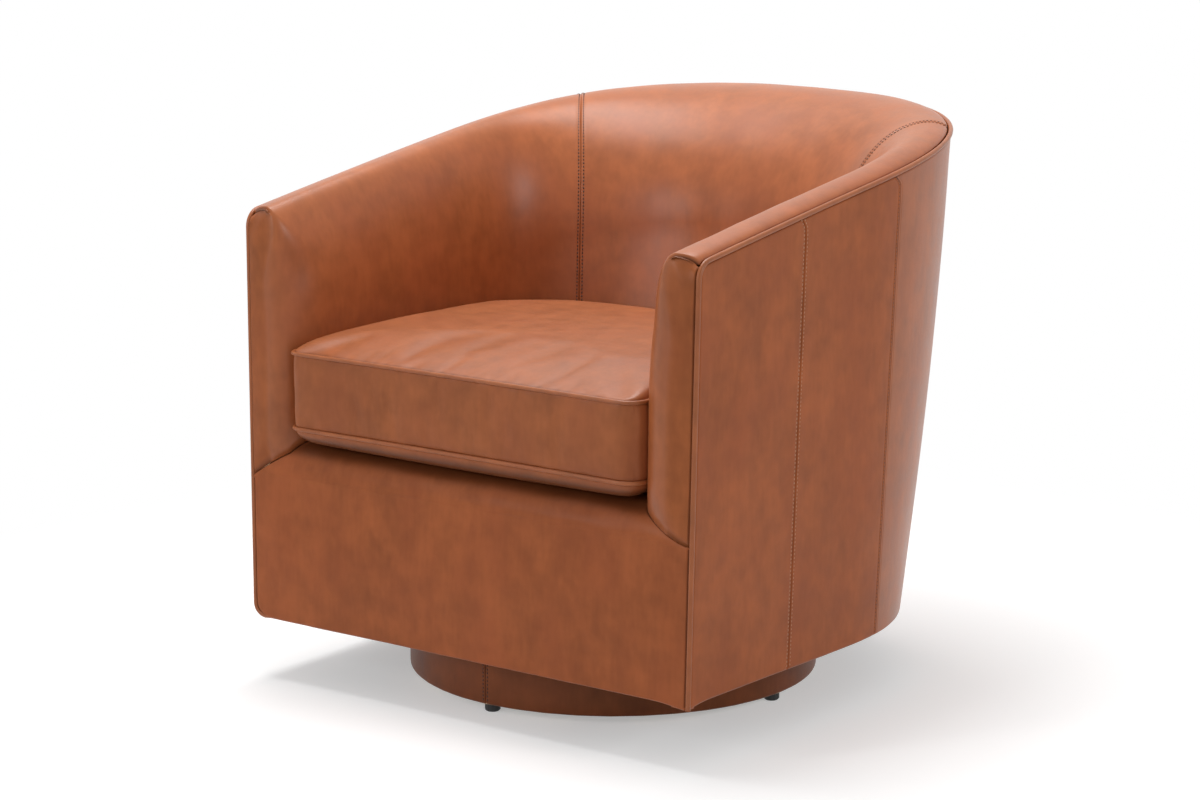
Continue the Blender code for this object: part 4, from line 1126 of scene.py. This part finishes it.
# %% Stitches
STITCH_PITCH = 0.0052
STITCH_LENGTH = 0.0036
STITCH_RADIUS = 0.00100
STITCH_SINK = STITCH_DIP - 0.0001
STATION_STEP = 0.01


def resampled(path, pitch):
    """Points and directions every so far along a path."""
    found = []
    travelled, wanted = 0.0, pitch / 2
    for before, after in zip(path, path[1:]):
        step = (after - before).length
        while travelled + step >= wanted and step > 0:
            found.append((before.lerp(after, (wanted - travelled) / step), (after - before).normalized()))
            wanted += pitch
        travelled += step
    return found


def stitch_row(bm, path, pitch=STITCH_PITCH, long=STITCH_LENGTH, thick=STITCH_RADIUS):
    """Adds a row of stitches along a path."""
    for point, along in resampled(path, pitch):
        turned = along.to_track_quat("X", "Z").to_matrix().to_4x4()
        size = Matrix.Diagonal((long / 2, thick, thick, 1.0))
        bmesh.ops.create_uvsphere(bm, u_segments=6, v_segments=4, radius=1.0,
                                  matrix=Matrix.Translation(point) @ turned @ size)


def beside(surface, station, offset):
    """The station at a distance from another one, measured along a surface."""
    span = surface(station + STATION_STEP) - surface(station - STATION_STEP)
    return station + offset * (2 * STATION_STEP / span.length)


STITCH_ROWS = [step / 60 for step in range(12, 60)] + [1 + step / 60 for step in range(60)]
STITCH_ROWS += [2 + step / 30 for step in range(26)]
bm = bmesh.new()
for offset in (STITCH_SET, -STITCH_SET):
    path = []
    for v in STITCH_ROWS:
        station = beside(lambda station: inside_point(station, v), join_at(v), offset)
        path.append(inside_point(station, v, STITCH_SINK))
    stitch_row(bm, path)
    stitch_row(bm, mirrored_path(path))
piece("inside_seam_stitches", bm, "seat_shell", dark_thread)


def outside_stitches(join, offset, finish, name):
    """A row of stitches beside an outside join, on the right and on the left."""
    bm = bmesh.new()
    path = []
    top = rim(join) - OUTER_EDGE
    for step in range(161):
        height = blend(BODY_BOTTOM + HEM_RADIUS, top - 0.001, step / 160)
        station = beside(lambda station: outer(station, height, 0.0), join_station(join, height, top), offset)
        path.append(outer(station, height, STITCH_SINK))
    stitch_row(bm, path)
    stitch_row(bm, mirrored_path(path))
    piece(name, bm, "seat_shell", finish)


outside_stitches(FAR_JOIN, STITCH_SET, light_thread, "side_seam_stitches_front")
outside_stitches(FAR_JOIN, -STITCH_SET, light_thread, "side_seam_stitches_rear")
outside_stitches(NEAR_JOIN, STITCH_SET, dark_thread, "back_seam_stitches")

# %% [markdown]
# The plinth is a hoop of bent plywood in one strip of leather, sewn end to end at the front. The strip is
# a grid bent round the hoop, turned in under its lower edge and over its top.

# %% Plinth leather
plinth_low, plinth_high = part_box("plinth_cover")
PLINTH_RADIUS = (plinth_high[0] - plinth_low[0]) / 2
PLINTH_BOTTOM, PLINTH_TOP = plinth_low[2], plinth_high[2]
PLINTH_HEM = 0.0035


def plinth_strip(distance, row):
    kind, value = row
    length = 2 * pi * PLINTH_RADIUS
    angle = -pi / 2 + distance / PLINTH_RADIUS
    near = min(distance, length - distance)
    dip = seam_dip(near)
    # Dirt and painted shade at the plinth's seam, and painted shade in its needle holes.
    rub = seam_dirt_and_shade(near, 0.5, True)
    if kind == "wall":
        radius = PLINTH_RADIUS - dip
        height = blend(PLINTH_BOTTOM + PLINTH_HEM, PLINTH_TOP - PLINTH_HEM, value)
    else:
        edge, way = (PLINTH_BOTTOM + PLINTH_HEM, -1) if kind == "low" else (PLINTH_TOP - PLINTH_HEM, 1)
        turn = min(value / PLINTH_HEM, pi / 2)
        radius = PLINTH_RADIUS - dip - PLINTH_HEM * (1 - cos(turn)) - max(0.0, value - PLINTH_HEM * pi / 2)
        height = edge + way * PLINTH_HEM * sin(turn)
        rub += 0.4
    return Seen(Vector((radius * cos(angle), radius * sin(angle), height)), rub, slack_at(near))


plinth_rows = [("low", value) for value in (0.018, 0.010, 0.0055, 0.0044, 0.0033, 0.0022, 0.0011)]
plinth_rows += [("wall", step / 8) for step in range(9)]
plinth_rows += [("high", value) for value in (0.0011, 0.0022, 0.0033, 0.0044, 0.0055, 0.010, 0.014)]
bm = sheet(spacing(2 * pi * PLINTH_RADIUS, True, True), plinth_rows, plinth_strip, slack=0.0003)
piece("plinth_leather", bm, "base", hide_base, ("plinth_cover",), HIDE)

bm = bmesh.new()
for offset in (STITCH_SET, -STITCH_SET):
    angle = -pi / 2 + offset / PLINTH_RADIUS
    side = (PLINTH_RADIUS - STITCH_SINK) * Vector((cos(angle), sin(angle)))
    heights = [blend(PLINTH_BOTTOM, PLINTH_TOP, share) for share in (0.06, 0.94)]
    stitch_row(bm, [Vector((side.x, side.y, height)) for height in heights])
piece("plinth_seam_stitches", bm, "base", dark_thread)

# %% [markdown]
# The seat cushion is a boxed cushion: a crowned top, an upright band and an underside, with piping between
# them. The plan is a patch stretched between four edges, so its squares stay even from the straight front
# to the round back. The cover is cut a little larger than its piping, and cloth simulation puffs it, with
# the piping held, so that the leather swells and gathers as real panels do.

# %% Cushion plan
CUSHION_WIDTH = 0.5710
CUSHION_FRONT = 0.3380
CUSHION_BACK = 0.2180
CUSHION_CORNERS = {1: 0.024, -1: 0.017}
LOW_WELT = DECK_HEIGHT + 0.0240
BOXING_HEIGHT = 0.1015
EDGE_RISE = 0.0170
SIDE_POWER, FRONT_POWER, BACK_POWER = 60.0, 13.0, 2.3
DOME_RISE, DOME_POWER = 0.0010, 2.2
UNDER_POWER = 34.0
FRONT_SAG, SAG_PLACE = 0.0040, 0.03
REST_GAP = 0.0008
CUSHION_WELT = 0.0027
DRAW_IN = 0.003
SEAT_TURN = TURN + TURN_LEAN * (DECK_HEIGHT - BODY_BOTTOM)
BACK_CORNER = 0.55
ROUND_BACK = 0.145
CELLS = 58


def back_curve(station):
    half = CUSHION_WIDTH / 2
    shape = Outline(half, half, -CUSHION_FRONT, SEAT_TURN, CUSHION_BACK, CURVE_INSIDE)
    foot, way = foot_and_way(shape, station)
    return foot + way * reach_of(shape, station)


def side_edge(share, hand):
    """A side edge in plan, from its front corner's middle to its back corner."""
    half, corner, front = CUSHION_WIDTH / 2, CUSHION_CORNERS[hand], -CUSHION_FRONT
    arc = corner * pi / 4
    straight = SEAT_TURN - (front + corner)
    run = share * (arc + straight + ROUND_BACK)
    if run < arc:
        turn = pi / 4 - run / corner
        return Vector((hand * (half - corner + corner * cos(turn)), front + corner - corner * sin(turn)))
    if run < arc + straight:
        along = (run - arc) / straight
        return Vector((hand * (half - DRAW_IN * sin(pi * along)), front + corner + along * straight))
    station = 1 - (1 - BACK_CORNER) * (run - arc - straight) / ROUND_BACK
    return back_curve(hand * station)


def front_edge(share):
    """The front edge in plan, between the middles of the two front corners."""
    hand = 1 if share > 0.5 else -1
    half, corner, front = CUSHION_WIDTH / 2, CUSHION_CORNERS[hand], -CUSHION_FRONT
    arc = corner * pi / 4
    straight = half - corner
    run = (1 - 2 * abs(share - 0.5)) * (arc + straight)
    if run < arc:
        turn = pi / 4 + run / corner
        return Vector((hand * (half - corner + corner * cos(turn)), front + corner - corner * sin(turn)))
    along = (run - arc) / straight
    return Vector((hand * straight * (1 - along), front + DRAW_IN * sin(pi / 2 * along)))


def cushion_plan(u, v):
    """A point of the cushion's plan: u across and v from front to back, each from 0 to 1."""
    rear = back_curve(BACK_CORNER * (2 * u - 1))
    patch = front_edge(u) * (1 - v) + rear * v + side_edge(v, -1) * (1 - u) + side_edge(v, 1) * u
    for end, weight in ((0.0, 1 - v), (1.0, v)):
        patch -= weight * (u * side_edge(end, 1) + (1 - u) * side_edge(end, -1))
    return patch


# %% Cushion cover
def crowned(u, v, sides, front, back):
    """1 in the middle of a panel and 0 at its edge, falling off the later the higher the power."""
    return (1 - abs(2 * u - 1) ** sides) * (1 - abs(2 * v - 1) ** (front if v < 0.5 else back))


def from_edge(count, near):
    """Even steps from 0 to 1 with narrow ones at each end, where a panel meets its piping."""
    middle = [blend(near[-1], 1 - near[-1], step / count) for step in range(1, count)]
    return [0.0] + near + middle + [1 - value for value in reversed(near)] + [1.0]


RIM_WELD = 0.0002
PANEL_STEPS = from_edge(CELLS, [0.003, 0.007, 0.013, 0.021])
BOXING_STEPS = from_edge(9, [0.015, 0.04, 0.08])


def top_height(u, v):
    edge = EDGE_RISE * crowned(u, v, SIDE_POWER, FRONT_POWER, BACK_POWER)
    return LOW_WELT + BOXING_HEIGHT + edge + DOME_RISE * crowned(u, v, DOME_POWER, DOME_POWER, DOME_POWER)


def under_height(u, v):
    sag = FRONT_SAG * exp(-((v - SAG_PLACE) / SAG_PLACE) ** 2) * sin(pi * u)
    depth = LOW_WELT - DECK_HEIGHT - REST_GAP + sag
    return LOW_WELT - depth * crowned(u, v, UNDER_POWER, UNDER_POWER, UNDER_POWER)


def cushion_panel(height, reverse):
    """The top or the underside."""
    def seen(u, v):
        plan = cushion_plan(u, v)
        return Seen(Vector((plan.x, plan.y, height(u, v))), 0.0)

    return sheet(PANEL_STEPS, PANEL_STEPS, seen, reverse=reverse)


def cushion_cover():
    """Top, band and underside as one closed skin, with the welt lines marked in a layer."""
    cover = cushion_panel(top_height, False)
    rim_edges = [edge for edge in cover.edges if edge.is_boundary]
    held = cover.verts.layers.int.new("held")
    for edge in rim_edges:
        for vert in edge.verts:
            vert[held] = 1
    for above, below in zip(BOXING_STEPS, BOXING_STEPS[1:]):
        grown = bmesh.ops.extrude_edge_only(cover, edges=rim_edges)["geom"]
        verts = [item for item in grown if isinstance(item, bmesh.types.BMVert)]
        rim_edges = [item for item in grown if isinstance(item, bmesh.types.BMEdge)]
        bmesh.ops.translate(cover, verts=verts, vec=(0.0, 0.0, -BOXING_HEIGHT * (below - above)))
        for vert in verts:
            vert[held] = 1 if below == 1.0 else 0
    under = cushion_panel(under_height, True)
    spare = bpy.data.meshes.new("underside")
    under.to_mesh(spare)
    under.free()
    count = len(cover.verts)
    cover.from_mesh(spare)
    bpy.data.meshes.remove(spare)
    cover.verts.ensure_lookup_table()
    held = cover.verts.layers.int["held"]
    for vert in cover.verts[count:]:
        vert[held] = 2
    bmesh.ops.remove_doubles(cover, verts=cover.verts, dist=RIM_WELD)
    bmesh.ops.recalc_face_normals(cover, faces=cover.faces)
    return cover


bm = cushion_cover()
open_edges = sum(1 for edge in bm.edges if not edge.is_manifold)
print("cushion cover", len(bm.verts), "points, open edges", open_edges)

# %% Puff the cushion
CLOTH_FRAMES = 24
MOST_MOVE = 0.012
CLOTH = {
    "quality": 6,
    "mass": 0.4,
    "tension_stiffness": 18,
    "compression_stiffness": 18,
    "shear_stiffness": 8,
    "bending_stiffness": 0.8,
    "use_pressure": True,
    "uniform_pressure_force": 1.6,
    "shrink_min": -0.004,
}


def puffed(bm):
    """Runs cloth simulation on the cover, pinned at its welts and underside, and moves its points by it."""
    held = bm.verts.layers.int["held"]
    pinned = [vert.index for vert in bm.verts if vert[held]]
    mesh = bpy.data.meshes.new("cushion_trial")
    bm.to_mesh(mesh)
    trial = bpy.data.objects.new("cushion_trial", mesh)
    bpy.context.collection.objects.link(trial)
    group = trial.vertex_groups.new(name="welts")
    group.add(pinned, 1.0, "REPLACE")
    sim = trial.modifiers.new("puff", "CLOTH")
    for key, value in CLOTH.items():
        setattr(sim.settings, key, value)
    sim.settings.vertex_group_mass = "welts"
    sim.settings.effector_weights.gravity = 0.0
    sim.collision_settings.use_collision = False
    sim.point_cache.frame_start = 1
    sim.point_cache.frame_end = CLOTH_FRAMES
    scene = bpy.context.scene
    for number in range(1, CLOTH_FRAMES + 1):
        scene.frame_set(number)
    result = trial.evaluated_get(bpy.context.evaluated_depsgraph_get()).to_mesh()
    bm.verts.ensure_lookup_table()
    furthest = 0.0
    for vert, after in zip(bm.verts, result.vertices):
        move = after.co - vert.co
        furthest = max(furthest, move.length)
        vert.co += move * min(1.0, MOST_MOVE / max(move.length, 1e-9))
    scene.frame_set(1)
    bpy.data.objects.remove(trial, do_unlink=True)
    print("cloth moved points by up to", round(furthest * 1000, 1), "mm")


bm.verts.index_update()
puffed(bm)
bm.normal_update()
rub = bm.verts.layers.float["rub"]
polish = bm.verts.layers.float["polish"]
HIGH_WELT = LOW_WELT + BOXING_HEIGHT
WELT_INSET = 0.0016
WELT_PINCH = 0.0026
# The crease and underside darkenings below are painted shade.
CUSHION_RUB, CUSHION_CREASE_SHADE, CUSHION_CREASE_WIDTH, UNDER_CUSHION_SHADE = 0.35, 0.8, 0.0024, 0.85
BAND_POLISH, POLISH_EDGE = 0.2, 0.003
CRUMPLE, CRUMPLE_WAVES, CRUMPLE_WAVES_UP = 0.0012, 60, 8


def outwards(point):
    """The level direction from the cushion's middle to a point."""
    return Vector((point.x, point.y - (CUSHION_BACK - CUSHION_FRONT) / 2, 0.0)).normalized()


for vert in bm.verts:
    near = min(abs(vert.co.z - HIGH_WELT), abs(vert.co.z - LOW_WELT))
    height = vert.co.z
    vert[rub] = CUSHION_RUB * smooth(HIGH_WELT, HIGH_WELT + 0.012, height)
    # Painted shade in the creases beside both pipings.
    vert[rub] -= CUSHION_CREASE_SHADE * exp(-(near / CUSHION_CREASE_WIDTH) ** 2)
    # Painted shade on the underside below the lower piping.
    vert[rub] -= UNDER_CUSHION_SHADE * smooth(LOW_WELT - 0.004, LOW_WELT - 0.015, height)
    vert[polish] = blend(BAND_POLISH, 1.0, smooth(HIGH_WELT - POLISH_EDGE, HIGH_WELT + POLISH_EDGE, height))
    crumple = CRUMPLE * noise.noise(Vector((vert.co.x * CRUMPLE_WAVES, vert.co.y * CRUMPLE_WAVES,
                                            height * CRUMPLE_WAVES_UP)))
    slack = smooth(LOW_WELT + 0.03, HIGH_WELT - 0.012, height) * smooth(HIGH_WELT, HIGH_WELT - 0.008, height)
    vert.co += outwards(vert.co) * (crumple * slack - WELT_INSET * exp(-(near / WELT_PINCH) ** 2))
    depth = vert.co.y - front_face(DECK_HEIGHT)
    if depth > 0:
        vert.co.z = max(vert.co.z, nose_height(depth) + REST_GAP)
band = BVHTree.FromBMesh(bm)
covered = ("cushion_core", "cushion_top_panel", "cushion_boxing", "cushion_zip_panel", "cushion_bottom_panel")
made = piece("seat_cushion_leather", bm, "seat_cushion", hide_seat, covered)
finer = made.modifiers.new("finer", "SUBSURF")
finer.levels = finer.render_levels = 1


# %% Cushion piping
WELT_PROUD = 0.0010
shares = [step / 60 for step in range(60)]
rim_places = [(share, 0.0) for share in shares] + [(1.0, share) for share in shares]
rim_places += [(1 - share, 1.0) for share in shares] + [(0.0, 1 - share) for share in shares]
cushion_rim = [cushion_plan(u, v) for u, v in rim_places]
for name, height, node in (("cushion_piping_top", HIGH_WELT, "cushion_top_welt"),
                           ("cushion_piping_low", LOW_WELT, "cushion_low_welt")):
    path = [Vector((point.x, point.y, height)) + outwards(point) * WELT_PROUD for point in cushion_rim]
    piece(name, cord(path, CUSHION_WELT, 10, closed=True), "seat_cushion", piping, (node,))

# %% [markdown]
# The cover comes off through a zip in the band at the back, which shows when the cushion is out. Its tape
# has to lie on leather that the simulation has moved, so each of its points is found with a ray cast at
# the band from outside.

# %% Cushion zip
ZIP_START, ZIP_END = 0.16, 0.84
ZIP_HEIGHT = (LOW_WELT + HIGH_WELT) / 2
ZIP_TAPE = 0.011
TAPE_PROUD, TEETH_PROUD = 0.0012, 0.0018
TOOTH_PITCH, TOOTH_LENGTH, TOOTH_RADIUS = 0.0026, 0.0022, 0.0019
SLIDER_BODY = (0.0, 0.0, 0.0), (0.011, 0.0050, 0.0075)
SLIDER_PULL = (0.006, 0.0032, -0.009), (0.0045, 0.0012, 0.020)


def on_band(along, height, proud):
    """A point on the band at the back, a little proud of it."""
    plan = cushion_plan(along, 1.0)
    way = outwards(plan)
    start = Vector((plan.x, plan.y, height)) + 0.05 * way
    return band.ray_cast(start, -way)[0] + way * proud


zip_places = [blend(ZIP_START, ZIP_END, step / 60) for step in range(61)]
bm = sheet(zip_places, [ZIP_TAPE * step / 3 for step in range(-3, 4)],
           lambda along, rise: Seen(on_band(along, ZIP_HEIGHT + rise, TAPE_PROUD), 0.0), reverse=True)
piece("zip_tape", bm, "seat_cushion", zip_cloth, thickness=0.0008)
zip_line = [on_band(along, ZIP_HEIGHT, TEETH_PROUD) for along in zip_places]
bm = bmesh.new()
stitch_row(bm, zip_line, TOOTH_PITCH, TOOTH_LENGTH, TOOTH_RADIUS)
piece("zip_teeth", bm, "seat_cushion", nylon)

bm = bmesh.new()
place = zip_line[4]
turned = (zip_line[5] - zip_line[3]).to_track_quat("X", "Z").to_matrix().to_4x4()
for middle, size in (SLIDER_BODY, SLIDER_PULL):
    seat = Matrix.Translation(place) @ turned @ Matrix.Translation(middle)
    made = bmesh.ops.create_cube(bm, size=1.0, matrix=seat @ Matrix.Diagonal((*size, 1.0)))
    edges = list({edge for vert in made["verts"] for edge in vert.link_edges})
    bmesh.ops.bevel(bm, geom=edges, offset=0.0005, affect="EDGES", segments=2, profile=0.5, material=-1)
piece("zip_slider", bm, "seat_cushion", steel)

# %% [markdown]
# Under the cushion lies a taut platform cloth over the springs, and under the whole shell a black dust
# cover. Both are plain stretched sheets, so they are flat grids fitted to the plan, with a little sag.

# %% Platform cloth
DECK_MARGIN, DECK_LAP, DECK_SET, DECK_SAG = 0.002, 0.004, 0.0004, 0.002


def deck_cloth(u, v):
    front = front_face(DECK_HEIGHT) + NOSE_RUN - DECK_LAP
    shape = inside_at(DECK_HEIGHT, DECK_HEIGHT + ROLL_DROP)
    half = shape.side_half - DECK_MARGIN
    across = 2 * u - 1
    foot, way = foot_and_way(shape, across)
    end = foot + way * (reach_of(shape, across) - DECK_MARGIN)
    if abs(across) > 0.999:
        end = Vector((across * half, shape.turn))
    plan = Vector((across * half, front)).lerp(end, v)
    sag = DECK_SAG * sin(pi * u) * sin(pi * v)
    return Seen(Vector((plan.x, plan.y, DECK_HEIGHT - DECK_SET - sag)), 0.0)


even = [step / 30 for step in range(31)]
bm = sheet(even, even, deck_cloth)
made = piece("platform_cloth", bm, "seat_shell", platform, ("deck_cover", "deck_pad"), 0.001)

# %% Dust cover
DUST_HOLE = 0.192
DUST_MARGIN = 0.012
DUST_SET, DUST_SAG = 0.0002, 0.001
dust_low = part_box("dust_cover")[0][2]


def dust_sheet(share, way):
    station = blend(-PANEL_FRONT, PANEL_FRONT, min(share, 1.0))
    rim_point = outer(station, BODY_BOTTOM, DUST_MARGIN)
    if share > 1.0:
        last = outer(PANEL_FRONT, BODY_BOTTOM, DUST_MARGIN)
        first = outer(-PANEL_FRONT, BODY_BOTTOM, DUST_MARGIN)
        rim_point = last.lerp(first, share - 1.0)
        rim_point.y += DUST_MARGIN
    hole = Vector((rim_point.x, rim_point.y, 0.0)).normalized() * DUST_HOLE
    plan = rim_point.lerp(hole, way)
    return Seen(Vector((plan.x, plan.y, dust_low + DUST_SET - DUST_SAG * sin(pi * way))), 0.0)


around = [step / 96 for step in range(97)] + [1 + step / 24 for step in range(1, 25)]
bm = sheet(around, [step / 8 for step in range(9)], dust_sheet, reverse=True)
bmesh.ops.remove_doubles(bm, verts=bm.verts, dist=WELD)
made = piece("dust_cover_cloth", bm, "seat_shell", cambric, ("dust_cover",), 0.0005)

# %% Finishes of the carried-over parts
node_finishes = {
    "plywood": wood,
    "foam": foam,
    "backing_board": felt,
    "black_cambric": cambric,
    "zinc_plated_steel": steel,
    "black_nylon": nylon,
    "cognac_leather": hide,
    "piping_leather": piping,
}
for part in frame["record"]["subparts"]:
    item = frame["nodes"][part["node"]]
    item.data.materials.clear()
    item.data.materials.append(node_finishes[part["material_slot"]])

# %% [markdown]
# The studio: a white floor and a white world that only the camera and mirrors see, a big soft box
# overhead, and two small bright ones at the front and right, whose reflections give the leather its sheen.
# Near the chair a part of the floor's white comes from the lamps, so the shadow shows there.

# %% Floor and world
bm = bmesh.new()
bmesh.ops.create_grid(bm, x_segments=1, y_segments=1, size=9.0)
mesh = bpy.data.meshes.new("floor")
bm.to_mesh(mesh)
bm.free()
floor_object = bpy.data.objects.new("floor", mesh)
bpy.context.collection.objects.link(floor_object)
SHADOW_REACH, WHITE_REACH = 0.75, 1.25
WHITE = colour(1.0, 1.0, 1.0)
FLOOR_GLOW, AMBIENT = 0.36, 0.42


def seen_at_all(nodes):
    """1 for what is seen, straight, mirrored or through glass, and 0 for the light that falls on things."""
    rays = nodes.tree.nodes.new("ShaderNodeLightPath").outputs
    camera, glossy, through = [Value(nodes, rays["Is " + kind + " Ray"])
                               for kind in ("Camera", "Glossy", "Transmission")]
    return camera + glossy + through


studio = Finish("studio_floor", 0.9)
studio.set("Base Color", colour(0.78, 0.78, 0.78))
studio.set("Specular IOR Level", 0.0)
lit = studio.own("Principled BSDF")
glow = studio.node("Emission", None, {"Color": WHITE, "Strength": FLOOR_GLOW})
plain_white = studio.node("Emission", None, {"Color": WHITE, "Strength": 1.0})
shadowed = studio.node("AddShader", None, {0: lit, 1: glow})
from_chair = studio.node("VectorMath", {"operation": "LENGTH"}, {0: studio.place()}, output=1)
fading = from_chair.between(SHADOW_REACH, WHITE_REACH)
seen = studio.node("MixShader", None, {0: fading, 1: shadowed, 2: plain_white})
studio.show(studio.node("MixShader", None, {0: seen_at_all(studio), 1: lit, 2: seen}), "Material Output")
mesh.materials.append(studio.material)

world = bpy.data.worlds.new("studio")
bpy.context.scene.world = world
world.use_nodes = True
sky = Nodes(world.node_tree)
sky.fill(sky.tree.nodes["Background"].inputs["Color"], WHITE)
sky.fill(sky.tree.nodes["Background"].inputs["Strength"], AMBIENT)
white = sky.node("Background", None, {"Color": WHITE, "Strength": 1.0})
behind_all = sky.node("MixShader", None, {0: seen_at_all(sky), 1: sky.own("Background"), 2: white})
sky.show(behind_all, "World Output")
print("floor and world made")


# %% Lamps
def softbox(name, place, aim, size, power):
    lamp = bpy.data.lights.new(name, "AREA")
    lamp.shape = "RECTANGLE"
    lamp.size, lamp.size_y = size
    lamp.energy = power
    made = bpy.data.objects.new(name, lamp)
    made.location = place
    made.rotation_euler = (Vector(aim) - Vector(place)).to_track_quat("-Z", "Y").to_euler()
    bpy.context.collection.objects.link(made)


softbox("overhead", (-0.5, 0.1, 2.8), (0.0, 0.0, 0.3), (1.9, 1.4), 63.0)
softbox("front", (-1.1, -3.0, 1.40), (0.0, 0.0, 0.5), (0.45, 0.9), 17.0)
softbox("right", (3.0, 0.1, 1.45), (0.0, 0.0, 0.5), (0.5, 0.7), 19.0)

# %% [markdown]
# The camera stands where the photograph was taken from: 37 degrees round from the front towards +X, a
# little above the chair, with a long lens.

# %% Camera
AZIMUTH, ELEVATION = radians(37.15), radians(11.38)
DISTANCE = 4.427
LENS, SENSOR = 97.26, 36.0
TARGET = Vector((-0.0228, 0.0, 0.3724)) + AXIS
camera_data = bpy.data.cameras.new("camera")
camera_data.sensor_width = SENSOR
camera_data.lens = LENS
camera = bpy.data.objects.new("camera", camera_data)
away = Vector((sin(AZIMUTH) * cos(ELEVATION), -cos(AZIMUTH) * cos(ELEVATION), sin(ELEVATION)))
camera.location = TARGET + away * DISTANCE
camera.rotation_euler = (-away).to_track_quat("-Z", "Y").to_euler()
bpy.context.collection.objects.link(camera)
bpy.context.scene.camera = camera
bpy.context.scene.view_settings.view_transform = "Standard"
